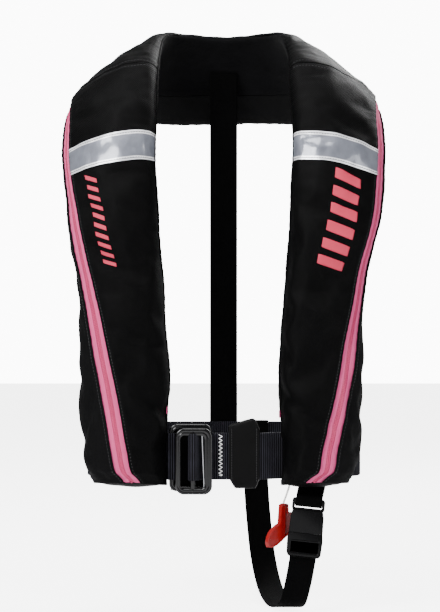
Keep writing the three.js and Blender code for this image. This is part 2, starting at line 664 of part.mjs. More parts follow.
// Hanging loop of narrow webbing, sewn under the rear edge of the collar.
const hangerTop = exactSkin(0, section(0).front + 16, -0.6);
const hangerLine = [
  vec2(-hanger.half, hangerTop.z - 3.3),
  vec2(-hanger.half, hangerTop.z - hanger.reach + 5),
  vec2(-hanger.half + 4, hangerTop.z - hanger.reach),
  vec2(hanger.half - 4, hangerTop.z - hanger.reach),
  vec2(hanger.half, hangerTop.z - hanger.reach + 5),
  vec2(hanger.half, hangerTop.z - 3.3),
];
add('hanging_loop', extrude(stripShape(hangerLine, hanger.thickness), 'y',
  hangerTop.y + hanger.width / 2 - 1, hangerTop.y - hanger.width / 2 - 1), blackWebbing);

// ---------------------------------------------------------------- side-release buckle
// Drawn upright about its own middle, then tilted: x across, z up the strap, -y the front.
const buckleFrame = new THREE.Group();
buckleFrame.position.set(buckle.x, buckle.y, buckle.z);
buckleFrame.rotation.y = THREE.MathUtils.degToRad(buckle.tilt);
buckleFrame.updateMatrixWorld(true);
group.add(buckleFrame);
const toWorld = (x, y, z) => vec3(x, y, z).applyMatrix4(buckleFrame.matrixWorld);

const slotHalf = webbing.width / 2 + 0.4;
const halfThick = buckle.thickness / 2;
const bodyHalf = buckle.femaleWidth / 2;
const cavityHigh = buckle.bodyHigh - 4.5;
const sideWindow = { low: 0, high: 12, depth: 6.4 };
const bodyOutline = new THREE.Shape([
  vec2(-bodyHalf - 0.6, buckle.bodyLow),
  vec2(bodyHalf + 0.6, buckle.bodyLow),
  vec2(bodyHalf, sideWindow.high),
  vec2(bodyHalf - 1.5, buckle.bodyHigh),
  vec2(-bodyHalf + 1.5, buckle.bodyHigh),
  vec2(-bodyHalf, sideWindow.high),
]);
const ringHalf = buckle.ringThick / 2;
const ringOutline = roundedRect(-bodyHalf, bodyHalf, buckle.bodyHigh - 1, buckle.ringHigh, 3);
ringOutline.holes.push(roundedRect(-slotHalf, slotHalf, buckle.slotLow, buckle.slotHigh, 0.8,
  new THREE.Path()));
add('crotch_buckle_female', cut(
  join(extrude(bodyOutline, 'y', halfThick, -halfThick), extrude(ringOutline, 'y', ringHalf, -ringHalf)),
  block(-buckle.mouthHalf, buckle.mouthHalf, -halfThick + buckle.wall, halfThick - buckle.wall,
    buckle.bodyLow - 1, cavityHigh),
  block(-bodyHalf - 2, bodyHalf + 2, -sideWindow.depth / 2, sideWindow.depth / 2,
    sideWindow.low, sideWindow.high),
), blackAcetal, buckleFrame);

// Male half: shoulder, guide tongue, side rails, middle bar for the strap and a bottom bar.
const maleSide = buckle.maleWidth / 2;
const male = {
  top: buckle.bodyLow - 0.5, shoulder: -13.5, barHigh: -17.5, barLow: -22, footHigh: -27,
  low: -32, railThick: 9, barThick: 4, footThick: 6, tongueHalf: 3.4,
};
const maleOutline = new THREE.Shape();
maleOutline.moveTo(-bodyHalf - 0.6, male.top);
maleOutline.lineTo(-maleSide, male.shoulder);
maleOutline.lineTo(-maleSide + 0.6, male.footHigh);
maleOutline.absarc(-maleSide + 5.6, male.low + 5, 5, Math.PI, Math.PI * 1.5);
maleOutline.absarc(maleSide - 5.6, male.low + 5, 5, Math.PI * 1.5, 0);
maleOutline.lineTo(maleSide, male.shoulder);
maleOutline.lineTo(bodyHalf + 0.6, male.top);
const rail = male.railThick / 2;
const belowShoulder = (from, to, half) =>
  [-1, 1].map((side) => block(-slotHalf, slotHalf, Math.min(side * half, side * rail * 1.2),
    Math.max(side * half, side * rail * 1.2), from, to));
add('crotch_buckle_male', join(cut(
  extrude(maleOutline, 'y', rail, -rail),
  block(-slotHalf, slotHalf, -rail - 1, rail + 1, male.barHigh, male.shoulder),
  block(-slotHalf, slotHalf, -rail - 1, rail + 1, male.footHigh, male.barLow),
  ...belowShoulder(male.barLow - 0.5, male.barHigh + 0.5, male.barThick / 2),
  ...belowShoulder(male.low - 1, male.footHigh + 0.5, male.footThick / 2),
), block(-male.tongueHalf, male.tongueHalf, -2.4, 2.4, male.top - 2, cavityHigh - 4)),
blackAcetal, buckleFrame);

// Two sprung prongs whose barbs stand in the side windows.
const prong = { rootX: bodyHalf - 7, root: male.top + 0.6, barbX: bodyHalf - 0.3, high: 11.5, half: 2.8 };
for (const [name, side] of [['right', -1], ['left', 1]]) {
  const outline = new THREE.Shape([
    vec2(side * -1.5, 0),
    vec2(side * 1.5, 0),
    vec2(side * (buckle.mouthHalf - 1 - prong.rootX), sideWindow.low - prong.root + 0.6),
    vec2(side * (prong.barbX - prong.rootX), sideWindow.low - prong.root + 1.2),
    vec2(side * (prong.barbX - prong.rootX), sideWindow.low - prong.root + 5),
    vec2(side * 2, prong.high - prong.root),
    vec2(side * -2, prong.high - prong.root),
  ]);
  add(`crotch_buckle_${name}_prong`, extrude(outline, 'y', prong.half, -prong.half), blackAcetal,
    buckleFrame).position.set(side * prong.rootX, 0, prong.root);
}

// ---------------------------------------------------------------- crotch strap
// The upper strap hangs in a loop on the belt and ends round the buckle's top bar.
const strapHalf = webbing.thickness / 2;
const beltAcross = vec3(beltRun.x, beltRun.y, 0);
const beltBehind = vec3(-beltRun.y, beltRun.x, 0);
const upperX = loop.x - loop.width / 2 - 1.75 - webbing.width / 2;
const onBelt = vec3(upperX, beltYAt(upperX), 0);
const legOff = belt.thickness / 2 + clearance + strapHalf;
const beltLeg = (off, z) => onBelt.clone().addScaledVector(beltBehind, off).setZ(z);
const barLeg = ringHalf + clearance + strapHalf;
const slotMiddle = (buckle.slotLow + buckle.slotHigh) / 2;
const upperLine = [
  beltLeg(legOff, belt.low - 8),
  beltLeg(legOff, beltHigh + clearance + strapHalf),
  beltLeg(-legOff, beltHigh + clearance + strapHalf),
  beltLeg(-legOff, belt.low - 2),
  toWorld(0, -barLeg, buckle.ringHigh + 3),
  toWorld(0, -barLeg, slotMiddle),
  toWorld(0, barLeg, slotMiddle),
  toWorld(0, barLeg, buckle.ringHigh - 1),
];
const buckleAcross = toWorld(1, 0, 0).sub(toWorld(0, 0, 0));
add('crotch_strap_upper', ribbon(upperLine,
  (i) => (i < 4 ? beltAcross : buckleAcross), webbing.width, webbing.thickness), blackWebbing);

// The lower strap comes out of the male half, passes between the legs and ends on the belt
// behind. It is cut where it runs fore and aft, so its front part can drop with the buckle.
const mainLeg = male.footThick / 2 + clearance + strapHalf;
const tailLeg = mainLeg + webbing.thickness + clearance;
const frontLeg = male.barThick / 2 + clearance + strapHalf;
const threaded = [
  [tailLeg, male.low - 5],
  [tailLeg, (male.shoulder + male.barHigh) / 2],
  [-frontLeg, (male.shoulder + male.barHigh) / 2],
  [-frontLeg, (male.barLow + male.footHigh) / 2],
  [mainLeg, (male.barLow + male.footHigh) / 2],
  [mainLeg, male.low - 3],
].map(([y, z]) => toWorld(0, y, z));
const crotchX = 38;                  // where the strap meets the belt behind
const strapRoute = [
  vec3(80, -80, buckle.z - 60),
  vec3(74.5, -66, buckle.z - 84),
  vec3(68, -45, buckle.z - 92),
  vec3(60, -15, buckle.z - 92),
  vec3(52, 25, buckle.z - 80),
  vec3(45, 62, buckle.z - 50),
  vec3(40, 90, buckle.z - 2),
  vec3(crotchX, belt.backY + belt.thickness / 2 + clearance + strapHalf, belt.low - 22),
];
const routeCurve = new THREE.CatmullRomCurve3([threaded.at(-1), ...strapRoute], false, 'centripetal');
const cutAt = 3 / strapRoute.length; // at the point of the route where it runs level
const routePoints = (from, to, count) =>
  spread(count).map((f) => routeCurve.getPoint(from + (to - from) * f));
const frontLine = [...threaded.slice(0, -1), ...routePoints(0, cutAt, 10)];
const turnedAcross = (share) => buckleAcross.clone().lerp(vec3(1, 0, 0), share).normalize();
add('crotch_strap_front', ribbon(frontLine,
  (i) => turnedAcross(Math.max(0, i - threaded.length) / 10), webbing.width, webbing.thickness),
blackWebbing);
const backIn = belt.backY - belt.thickness / 2 - clearance - strapHalf;
const backOut = strapRoute.at(-1).y;
const backLine = [
  ...routePoints(cutAt, 1, 12),
  vec3(crotchX, backOut, beltHigh + clearance + strapHalf),
  vec3(crotchX, backIn, beltHigh + clearance + strapHalf),
  vec3(crotchX, backIn, belt.low + 6),
];
const cutShift = routeCurve.getTangent(cutAt).multiplyScalar(clearance);
backLine[0].add(cutShift);
add('crotch_strap_back', ribbon(backLine, () => vec3(1, 0, 0), webbing.width, webbing.thickness),
  blackWebbing);

// ---------------------------------------------------------------- gas inflator, wearer's left
const inflatorFrame = new THREE.Group();
inflatorFrame.position.set(inflator.x, inflator.y, 0);
group.add(inflatorFrame);
const rod = (r, low, high, segments = 20) =>
  new THREE.CylinderGeometry(r, r, high - low, segments)
    .rotateX(Math.PI / 2)
    .translate(0, 0, (low + high) / 2);
const crossRod = (r, x, z, half, segments = 16) =>
  new THREE.CylinderGeometry(r, r, 2 * half, segments).translate(x, 0, z);
const halfWide = inflator.width / 2;
const halfDeep = inflator.depth / 2;
const pivotZ = inflator.low + lever.pivotZ;
const slotHalfDepth = lever.thickness / 2 + clearance;
const neckLow = inflator.high - 11.5;
const springCavity = { radius: 4.4, low: pivotZ + 6, high: inflator.high - 14 };
const pin = { radius: 1.8, headRadius: 2.4, low: pivotZ + 4.8, head: 1.5, travel: 6 };
const housingBlock = extrude(roundedRect(-halfWide, halfWide, -halfDeep, halfDeep, 4), 'z',
  inflator.low, inflator.high);
add('inflator_housing', cut(
  housingBlock,
  rod(cylinder.neckRadius + clearance, neckLow - 0.3, inflator.high + 1),
  rod(pin.radius + 0.5, springCavity.high - 1, neckLow, 16),
  rod(springCavity.radius, pivotZ + 2, springCavity.high, 16),
  block(-halfWide - 1, 7, -slotHalfDepth, slotHalfDepth, inflator.low + 1.5, pivotZ + 9),
  crossRod(1.5 + clearance, lever.pivotX, pivotZ, halfDeep + 1),
), greyPlastic, inflatorFrame);
add('lever_pin', crossRod(1.5, lever.pivotX, pivotZ, halfDeep - 0.5), plainSteel, inflatorFrame);

// Lever: an arm to the cord's eye and a short finger under the piercing pin.
const arm = new THREE.Shape();
arm.absarc(0, 0, 3.2, -Math.PI / 2, Math.PI / 2);
arm.absarc(-lever.reach, 0, 2.8, Math.PI / 2, Math.PI * 1.5);
const finger = { length: 6.3, angle: THREE.MathUtils.degToRad(18.4 + lever.restAngle), radius: 1.5 };
const fingerX = finger.length * Math.cos(finger.angle);
const fingerZ = finger.length * Math.sin(finger.angle);
const fingerTip = crossRod(finger.radius, fingerX, fingerZ, lever.thickness / 2, 12);
const fingerArm = new THREE.BoxGeometry(finger.length, lever.thickness, 2 * finger.radius)
  .translate(finger.length / 2, 0, 0)
  .rotateY(-finger.angle);
const leverMesh = add('inflator_lever', cut(
  join(extrude(arm, 'y', lever.thickness / 2, -lever.thickness / 2), fingerArm, fingerTip),
  crossRod(1.5 + clearance, 0, 0, 10),
  crossRod(1.3, -lever.reach, 0, 10),
), redPlastic, inflatorFrame);
leverMesh.position.set(lever.pivotX, 0, pivotZ);
leverMesh.rotation.y = THREE.MathUtils.degToRad(lever.restAngle);

add('piercing_pin', join(
  rod(pin.radius, pin.low, neckLow - 2, 16),
  rod(pin.headRadius, pin.low, pin.low + pin.head, 16),
), plainSteel, inflatorFrame);
const ringTube = (outer, inner, low, high, segments) =>
  turned([[inner, low], [outer, low], [outer, high], [inner, high], [inner, low]], segments);
add('pin_spring', ringTube(springCavity.radius - clearance, pin.radius + clearance,
  pin.low + pin.head + clearance, springCavity.high - clearance, 16), plainSteel, inflatorFrame);

const neckHigh = inflator.high + 4;
const shoulderHigh = neckHigh + 8;
const cylinderTop = inflator.high + cylinder.length - 8;
const dome = spread(4).slice(1).map((f) => [
  cylinder.radius * Math.cos((f * Math.PI) / 2),
  cylinderTop - 8 + 8 * Math.sin((f * Math.PI) / 2),
]);
dome.at(-1)[0] = 0;
add('gas_cylinder', turned([
  [0, neckLow + 7], [2.6, neckLow + 7], [2.6, neckLow], [cylinder.neckRadius, neckLow],
  [cylinder.neckRadius, neckHigh], [cylinder.radius, shoulderHigh],
  [cylinder.radius, cylinderTop - 8], ...dome,
], 24), paintedSteel, inflatorFrame);

const capHigh = inflator.low - clearance;
const capLow = capHigh - 12;
add('inflator_cap', turned([
  [0, capLow], [10.8, capLow], [10.8, capHigh], [8.8, capHigh], [8.8, capLow + 2], [0, capLow + 2],
], 24), blackAcetal, inflatorFrame);
add('bobbin', ringTube(8.4, 3, capLow + 2 + clearance, capHigh - 1.2, 20), orangeRubber, inflatorFrame);

// The inflator's flange is welded to the bladder behind it.
const flange = { radius: 15, thickness: 3 };
const flangeDisc = (r, x, z, front, thickness) =>
  new THREE.CylinderGeometry(r, r, thickness, 28).translate(x, front + thickness / 2, z);
add('inflator_flange', flangeDisc(flange.radius, 0, (inflator.low + inflator.high) / 2,
  halfDeep + clearance, flange.thickness), bladderFilm, inflatorFrame);

// ---------------------------------------------------------------- pull cord and handle
const circle = (r, segments) => new THREE.Shape(Array.from({ length: segments }, (_, k) =>
  vec2(r * Math.cos((2 * Math.PI * k) / segments), r * Math.sin((2 * Math.PI * k) / segments))));
const cordPath = new THREE.CurvePath();
cordPath.add(new THREE.LineCurve3(cordRoute[0], cordRoute[1]));
cordPath.add(new THREE.QuadraticBezierCurve3(...cordRoute.slice(1)));
add('pull_cord', new THREE.ExtrudeGeometry(circle(pullCord.diameter / 2, 8), {
  steps: 14, bevelEnabled: false, extrudePath: cordPath,
}), whiteCord);

// Moulded handle: a stem over a swept grip, with a raised rim and a middle rib.
const handleFrame = new THREE.Group();
handleFrame.position.set(handle.x, handle.y, handle.z);
handleFrame.rotation.z = THREE.MathUtils.degToRad(handle.turn);
group.add(handleFrame);
const gripOutline = (inset) => {
  const shape = new THREE.Shape();
  shape.moveTo(-5.4 + inset, -2 - inset / 2);
  shape.quadraticCurveTo(0, 1 - inset, 5.4 - inset, -2 - inset / 2);
  shape.lineTo(6.2 - inset, -11 - inset);
  shape.quadraticCurveTo(16, -10 - inset, 22.5 - inset, -14 - inset);
  shape.quadraticCurveTo(26 - inset, -22, 19 - inset, -28 + inset);
  shape.quadraticCurveTo(6, -34 + inset * 1.5, -6, -41 + inset);
  shape.quadraticCurveTo(-18, -48 + inset * 1.2, -25 + inset, -45.5 + inset);
  shape.quadraticCurveTo(-29.5 + inset, -40, -23 + inset, -30.5 - inset / 2);
  shape.quadraticCurveTo(-14, -23 - inset * 1.2, -7.6 + inset, -21.5 - inset / 2);
  shape.closePath();
  return shape;
};
const halfHandle = handle.thickness / 2;
const sunkFace = (from, to) => extrude(gripOutline(1.7), 'y', from, to, 4);
add('pull_handle', join(
  cut(
    extrude(gripOutline(0), 'y', halfHandle, -halfHandle, 4),
    sunkFace(-halfHandle + 1, -halfHandle - 1),
    sunkFace(halfHandle + 1, halfHandle - 1),
  ),
  block(-0.9, 0.9, -halfHandle + 0.2, halfHandle - 0.2, -35, -3),
), redPlastic, handleFrame);

// ---------------------------------------------------------------- oral inflation, wearer's right
const oralFrame = new THREE.Group();
oralFrame.position.set(oral.x, oral.y, 0);
group.add(oralFrame);
const tubeBack = halfDeep + clearance;
add('oral_tube_flange', flangeDisc(13, 0, oral.low, tubeBack, flange.thickness), bladderFilm, oralFrame);
const tubeSection = circle(oral.tubeRadius, 10);
tubeSection.holes.push(new THREE.Path(circle(oral.boreRadius, 10).getPoints()));
const tubePath = new THREE.CurvePath();
const tubeFront = tubeBack - clearance;
tubePath.add(new THREE.LineCurve3(vec3(0, tubeFront, oral.low), vec3(0, oral.bend, oral.low)));
tubePath.add(new THREE.QuadraticBezierCurve3(vec3(0, oral.bend, oral.low), vec3(0, 0, oral.low),
  vec3(0, 0, oral.low + oral.bend)));
const valveLow = oral.high - clearance;
tubePath.add(new THREE.LineCurve3(vec3(0, 0, oral.low + oral.bend), vec3(0, 0, valveLow)));
add('oral_tube', new THREE.ExtrudeGeometry(tubeSection, {
  steps: 12, bevelEnabled: false, extrudePath: tubePath,
}), orangeRubber, oralFrame);
add('oral_valve_body', turned([
  [5, oral.high], [7.6, oral.high], [7.6, oral.high + 22], [5, oral.high + 22], [5, oral.high + 8],
  [3, oral.high + 8], [3, oral.high + 5], [5, oral.high + 3], [5, oral.high],
], 20), blackAcetal, oralFrame);
add('oral_valve_poppet', join(
  rod(2.6, oral.high + 2.2, oral.high + 16, 14),
  rod(4.6, oral.high + 14, oral.high + 20, 14),
), greyPlastic, oralFrame);
add('whistle', cut(
  extrude(roundedRect(-6, 6, -5, 5, 2.5), 'z', oral.low + 22, oral.low + 66),
  block(-4, 4, -3, 3, oral.low + 30, oral.low + 70),
  block(-3, 3, -7, 0, oral.low + 46, oral.low + 52),
), orangeRubber, oralFrame).position.x = oral.tubeRadius + 6 + 0.6;

export default group;
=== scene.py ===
# Horseshoe inflatable life jacket: cloth, zip, webbing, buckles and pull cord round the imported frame.
# Metres; +X is the wearer's left, -Y the wearer's front, +Z up.
import bpy
import bmesh
import math
import numpy as np
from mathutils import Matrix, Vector


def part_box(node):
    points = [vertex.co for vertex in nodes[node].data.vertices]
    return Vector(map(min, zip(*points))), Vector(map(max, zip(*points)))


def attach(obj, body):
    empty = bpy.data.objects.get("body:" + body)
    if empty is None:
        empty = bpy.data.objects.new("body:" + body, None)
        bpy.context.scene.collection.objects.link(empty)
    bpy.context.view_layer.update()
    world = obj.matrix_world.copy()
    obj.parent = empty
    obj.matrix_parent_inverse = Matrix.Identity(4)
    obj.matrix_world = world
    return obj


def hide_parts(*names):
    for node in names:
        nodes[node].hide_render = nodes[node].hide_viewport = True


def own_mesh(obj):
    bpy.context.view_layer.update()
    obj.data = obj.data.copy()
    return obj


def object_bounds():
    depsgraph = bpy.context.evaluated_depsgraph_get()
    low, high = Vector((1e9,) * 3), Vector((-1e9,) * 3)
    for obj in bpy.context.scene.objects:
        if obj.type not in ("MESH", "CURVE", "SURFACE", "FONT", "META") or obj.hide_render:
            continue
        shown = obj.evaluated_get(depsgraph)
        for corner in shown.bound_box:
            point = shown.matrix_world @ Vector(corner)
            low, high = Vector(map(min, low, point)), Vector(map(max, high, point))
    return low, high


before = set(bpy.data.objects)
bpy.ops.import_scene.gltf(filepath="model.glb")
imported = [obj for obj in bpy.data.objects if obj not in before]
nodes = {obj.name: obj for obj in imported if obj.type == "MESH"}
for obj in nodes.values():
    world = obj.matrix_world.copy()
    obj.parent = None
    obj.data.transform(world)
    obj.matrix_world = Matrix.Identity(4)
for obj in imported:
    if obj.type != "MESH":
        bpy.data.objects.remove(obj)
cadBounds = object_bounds()
mm = 0.001
print("frame loaded:", len(nodes), "nodes")


# Quads of a grid with rows x cols points, row after row; wrap closes each row on itself.
def gridFaces(rows, cols, wrap=False):
    i, j = np.meshgrid(np.arange(rows - 1), np.arange(cols if wrap else cols - 1), indexing="ij")
    k = (j + 1) % cols
    corners = [i * cols + j, (i + 1) * cols + j, (i + 1) * cols + k, i * cols + k]
    return np.stack(corners, -1).reshape(-1, 4)


# Six times the volume inside a closed mesh: each face's fan of triangles against the origin.
def volumeOf(points, faces):
    total = 0.0
    for group in faces:
        for k in range(1, group.shape[1] - 1):
            a, b, c = (points[group[:, n]] for n in (0, k, k + 1))
            total += float((a * np.cross(b, c)).sum())
    return total


# A mesh object from points and face groups, turned so that its faces point out.
def makeObject(name, points, faces, uv=None, smooth=True):
    faces = [np.asarray(group, int) for group in faces if len(group)]
    if volumeOf(points, faces) < 0:
        faces = [group[:, ::-1] for group in faces]
    loops = np.concatenate([group.ravel() for group in faces])
    sizes = np.concatenate([np.full(len(group), group.shape[1]) for group in faces])
    mesh = bpy.data.meshes.new(name)
    mesh.vertices.add(len(points))
    mesh.vertices.foreach_set("co", np.asarray(points, np.float32).ravel())
    mesh.loops.add(len(loops))
    mesh.loops.foreach_set("vertex_index", loops.astype(np.int32))
    mesh.polygons.add(len(sizes))
    mesh.polygons.foreach_set("loop_start", np.concatenate([[0], np.cumsum(sizes)[:-1]]).astype(np.int32))
    mesh.polygons.foreach_set("use_smooth", np.full(len(sizes), smooth))
    if uv is not None:
        layer = mesh.uv_layers.new(name="cloth")
        layer.data.foreach_set("uv", np.asarray(uv, np.float32)[loops].ravel())
    mesh.update(calc_edges=True)
    mesh.validate()
    piece = bpy.data.objects.new(name, mesh)
    bpy.context.scene.collection.objects.link(piece)
    return piece


# Gives a finished piece its material, its body and the nodes that it stands for.
def finishPiece(piece, material, body="jacket", stands=()):
    piece.data.materials.clear()
    piece.data.materials.append(material)
    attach(piece, body)
    if stands:
        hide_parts(*stands)
    return piece


# A two-sided sheet: outer and inner grids that share their border points.
def sheetPoints(outer, inner, uv):
    rows, cols = outer.shape[:2]
    outerIndex = np.arange(rows * cols).reshape(rows, cols)
    inside = np.zeros((rows, cols), bool)
    inside[1:-1, 1:-1] = True
    innerIndex = outerIndex.copy()
    innerIndex[inside] = rows * cols + np.arange(inside.sum())
    points = np.vstack([outer.reshape(-1, 3), inner[inside]])
    coords = np.vstack([uv.reshape(-1, 2), uv[inside]])
    flat = gridFaces(rows, cols)
    faces = [outerIndex.ravel()[flat], innerIndex.ravel()[flat][:, ::-1]]
    return points, faces, coords


# Closed rings of equally many points, joined in rows, with a fan of triangles over each end.
def ringFaces(rows, count):
    total = rows * count
    j = np.arange(count)
    k = (j + 1) % count
    first = np.stack([np.full(count, total), k, j], -1)
    last = np.stack([np.full(count, total + 1), total - count + j, total - count + k], -1)
    return [gridFaces(rows, count, wrap=True), np.vstack([first, last])]


# A mesh from rows of rings; each end closes on the mean of its ring.
def makeRings(name, rings, uv=None):
    rows, count = rings.shape[:2]
    points = np.vstack([rings.reshape(-1, 3), rings[0].mean(0), rings[-1].mean(0)])
    if uv is not None:
        uv = np.vstack([uv.reshape(-1, 2), uv[0].mean(0), uv[-1].mean(0)])
    return makeObject(name, points, ringFaces(rows, count), uv)


# Each vector divided by its length.
def unit(vectors):
    return vectors / np.maximum(np.linalg.norm(vectors, axis=-1, keepdims=True), 1e-12)


# Distance along a polyline at each of its points: the running sum of its chords.
def runLength(points):
    steps = np.linalg.norm(np.diff(points, axis=0), axis=1)
    return np.concatenate([[0.0], np.cumsum(steps)])


# Points every step along a polyline, with extra columns such as a width direction carried along.
def resample(points, step):
    run = runLength(points[:, :3])
    wanted = np.linspace(0, run[-1], max(2, int(round(run[-1] / step)) + 1))
    return np.stack([np.interp(wanted, run, column) for column in points.T], -1)


# Each corner of a polyline becomes a parabola that starts radius before it and ends radius after;
# radius is one number, or one for each point.
def roundedPath(points, radius, step):
    points = np.asarray(points, float)
    radii = np.broadcast_to(radius, len(points))[1:-1]
    parts = [points[:1]]
    t = np.linspace(0, 1, 9)[:, None]
    for before, corner, after, radius in zip(points[:-2], points[1:-1], points[2:], radii):
        into, out = corner - before, after - corner
        back = min(radius / max(np.linalg.norm(into[:3]), 1e-9), 0.48)
        on = min(radius / max(np.linalg.norm(out[:3]), 1e-9), 0.48)
        start, end = corner - into * back, corner + out * on
        parts.append((1 - t) ** 2 * start + 2 * t * (1 - t) * corner + t ** 2 * end)
    parts.append(points[-1:])
    return resample(np.vstack(parts), step)


# Centripetal Catmull-Rom curve through points; t counts points, and dt is the root of a chord.
def smoothCurve(points, t):
    points = np.asarray(points, float)
    ends = np.vstack([2 * points[0] - points[1], points, 2 * points[-1] - points[-2]])
    k = np.clip(np.floor(t).astype(int), 0, len(points) - 2)
    w = (t - k)[:, None]
    p0, p1, p2, p3 = (ends[k + n] for n in range(4))
    d0, d1, d2 = (np.sqrt(np.maximum(np.linalg.norm(b - a, axis=1), 1e-7))[:, None]
                  for a, b in ((p0, p1), (p1, p2), (p2, p3)))
    m1 = ((p1 - p0) / d0 - (p2 - p0) / (d0 + d1) + (p2 - p1) / d1) * d1
    m2 = ((p2 - p1) / d1 - (p3 - p1) / (d1 + d2) + (p3 - p2) / d2) * d1
    return ((2 * w ** 3 - 3 * w ** 2 + 1) * p1 + (w ** 3 - 2 * w ** 2 + w) * m1
            + (3 * w ** 2 - 2 * w ** 3) * p2 + (w ** 3 - w ** 2) * m2)


# A round tube: circles of each point's radius in planes square to the path.
def tube(name, path, radius, sides=10):
    tangent = unit(np.gradient(path, axis=0))
    start = np.cross(tangent[0], [0.3, 0.5, 0.81])
    side = np.empty_like(path)
    side[0] = start / np.linalg.norm(start)
    for k in range(1, len(path)):
        carried = side[k - 1] - tangent[k] * side[k - 1].dot(tangent[k])
        side[k] = carried / np.linalg.norm(carried)
    other = np.cross(tangent, side)
    angle = np.linspace(0, 2 * np.pi, sides, endpoint=False)
    radius = np.broadcast_to(radius, len(path))[:, None, None]
    rings = path[:, None] + radius * (np.cos(angle)[:, None] * side[:, None]
                                      + np.sin(angle)[:, None] * other[:, None])
    run = runLength(path)
    uv = np.stack(np.meshgrid(run, angle / (2 * np.pi) * 0.02, indexing="ij"), -1)
    return makeRings(name, rings, uv)


# A turned piece: (radius, height) profile carried round an upright axis at centre.
def turned(name, profile, centre, sides=64, grip=0.0, grips=0):
    profile = np.asarray(profile, float)
    angle = np.linspace(0, 2 * np.pi, sides, endpoint=False)
    radius = profile[:, :1] * (1 + grip * np.cos(grips * angle))
    rings = np.stack([centre[0] + radius * np.cos(angle), centre[1] + radius * np.sin(angle),
                      centre[2] + np.broadcast_to(profile[:, 1:], radius.shape)], -1)
    uv = np.stack(np.meshgrid(runLength(profile), angle * 0.01, indexing="ij"), -1)
    return makeRings(name, rings, uv)


# Sum of a few sine waves in seeded directions: a smooth field between about -1 and 1.
def softNoise(x, y, wavelength, seed, waves=6):
    random = np.random.RandomState(seed)
    total = 0
    for _ in range(waves):
        angle, phase = random.uniform(0, 2 * np.pi, 2)
        length = wavelength * random.uniform(0.65, 1.5)
        total = total + np.sin(2 * np.pi * (x * math.cos(angle) + y * math.sin(angle)) / length + phase)
    return total / math.sqrt(waves * 1.5)


# Short names for adding and joining the shader nodes of one material.
class Nodes:
    def __init__(self, name, color, roughness, metallic=0.0, **sockets):
        self.material = bpy.data.materials.new(name)
        self.material.use_nodes = True
        self.material.diffuse_color = (*color, 1)
        self.tree = self.material.node_tree
        self.shader = self.tree.nodes["Principled BSDF"]
        self.set("Base Color", (*color, 1))
        self.set("Roughness", roughness)
        self.set("Metallic", metallic)
        for socket, value in sockets.items():
            self.set(socket, value)

    # A fixed value on one of the shader's own sockets.
    def set(self, socket, value):
        self.shader.inputs[socket.replace("_", " ")].default_value = value

    # A new node; an input is either joined to another node's output or given a value.
    def add(self, kind, inputs=(), **settings):
        node = self.tree.nodes.new("ShaderNode" + kind)
        for key, value in settings.items():
            setattr(node, key, value)
        for socket, value in dict(inputs).items():
            if isinstance(value, bpy.types.NodeSocket):
                self.tree.links.new(value, node.inputs[socket])
            else:
                node.inputs[socket].default_value = value
        return node

    def math(self, operation, a, b=0.0, c=0.0):
        return self.add("Math", {0: a, 1: b, 2: c}, operation=operation).outputs[0]

    def link(self, output, socket):
        self.tree.links.new(output, self.shader.inputs[socket])

    # Cloth follows the piece's own map in metres; the rest reads object coordinates.
    def coords(self, onCloth=True):
        if onCloth:
            return self.add("UVMap", uv_map="cloth").outputs[0]
        return self.add("TexCoord").outputs["Object"]

    def noise(self, vector, scale, detail=3.0, roughness=0.55):
        return self.add("TexNoise", {"Vector": vector, "Scale": scale, "Detail": detail,
                                     "Roughness": roughness}).outputs[0]

    def ramp(self, value, stops):
        node = self.add("ValToRGB", {0: value})
        ends = node.color_ramp.elements
        while len(ends) < len(stops):
            ends.new(0.5)
        for element, (position, color) in zip(ends, stops):
            element.position = position
            element.color = (*color, 1) if len(color) == 3 else color
        return node.outputs[0]

    # Bump of the given height in metres, over another one when below is given.
    def bump(self, height, distance, strength=1.0, below=None):
        inputs = {"Height": height, "Distance": distance, "Strength": strength}
        if below is not None:
            inputs["Normal"] = below
        return self.add("Bump", inputs).outputs[0]

    # Over-and-under of a plain weave: warp and weft ridges in turn on a chessboard of pitch squares.
    def weave(self, vector, pitch, stretch=1.0):
        split = self.add("SeparateXYZ", {0: vector})
        x = self.math("MULTIPLY", split.outputs[0], 1 / pitch)
        y = self.math("MULTIPLY", split.outputs[1], stretch / pitch)
        warp = self.math("ABSOLUTE", self.math("SINE", self.math("MULTIPLY", x, math.pi)))
        weft = self.math("ABSOLUTE", self.math("SINE", self.math("MULTIPLY", y, math.pi)))
        steps = self.math("ADD", self.math("FLOOR", x), self.math("FLOOR", y))
        odd = self.math("FLOORED_MODULO", steps, 2.0)
        even = self.math("SUBTRACT", 1.0, odd)
        return self.math("ADD", self.math("MULTIPLY", warp, odd), self.math("MULTIPLY", weft, even))


# A colour times a factor, held at 1.
def scaled(color, factor):
    return tuple(min(1.0, channel * factor) for channel in color)


# Woven cloth: weave in the bump, slow changes of shade and of gloss, and a soft sheen.
def wovenCloth(name, color, pitch, roughness=0.82, sheen=0.25, depth=0.00016, variation=0.25, scuff=None,
               gloss=0.3):
    n = Nodes(name, color, roughness, Sheen_Weight=sheen, Sheen_Roughness=0.45,
              Specular_IOR_Level=gloss)
    where = n.coords()
    patches = n.noise(where, 26, 4)
    threads = n.weave(where, pitch)
    shade = n.ramp(patches, [(0.3, scaled(color, 1 - variation)), (0.7, scaled(color, 1 + variation))])
    if scuff:
        fine = n.noise(where, 900, 2)
        mixed = n.add("Mix", {0: fine, 6: shade, 7: (*scuff, 1)}, data_type="RGBA")
        shade = mixed.outputs[2]
    n.link(shade, "Base Color")
    dull = n.add("MapRange", {0: threads, 3: roughness + 0.1, 4: roughness - 0.12})
    n.link(dull.outputs[0], "Roughness")
    grain = n.bump(n.noise(where, 420, 2), 0.00012, 0.5)
    n.link(n.bump(threads, depth, 1.0, grain), "Normal")
    return n.material
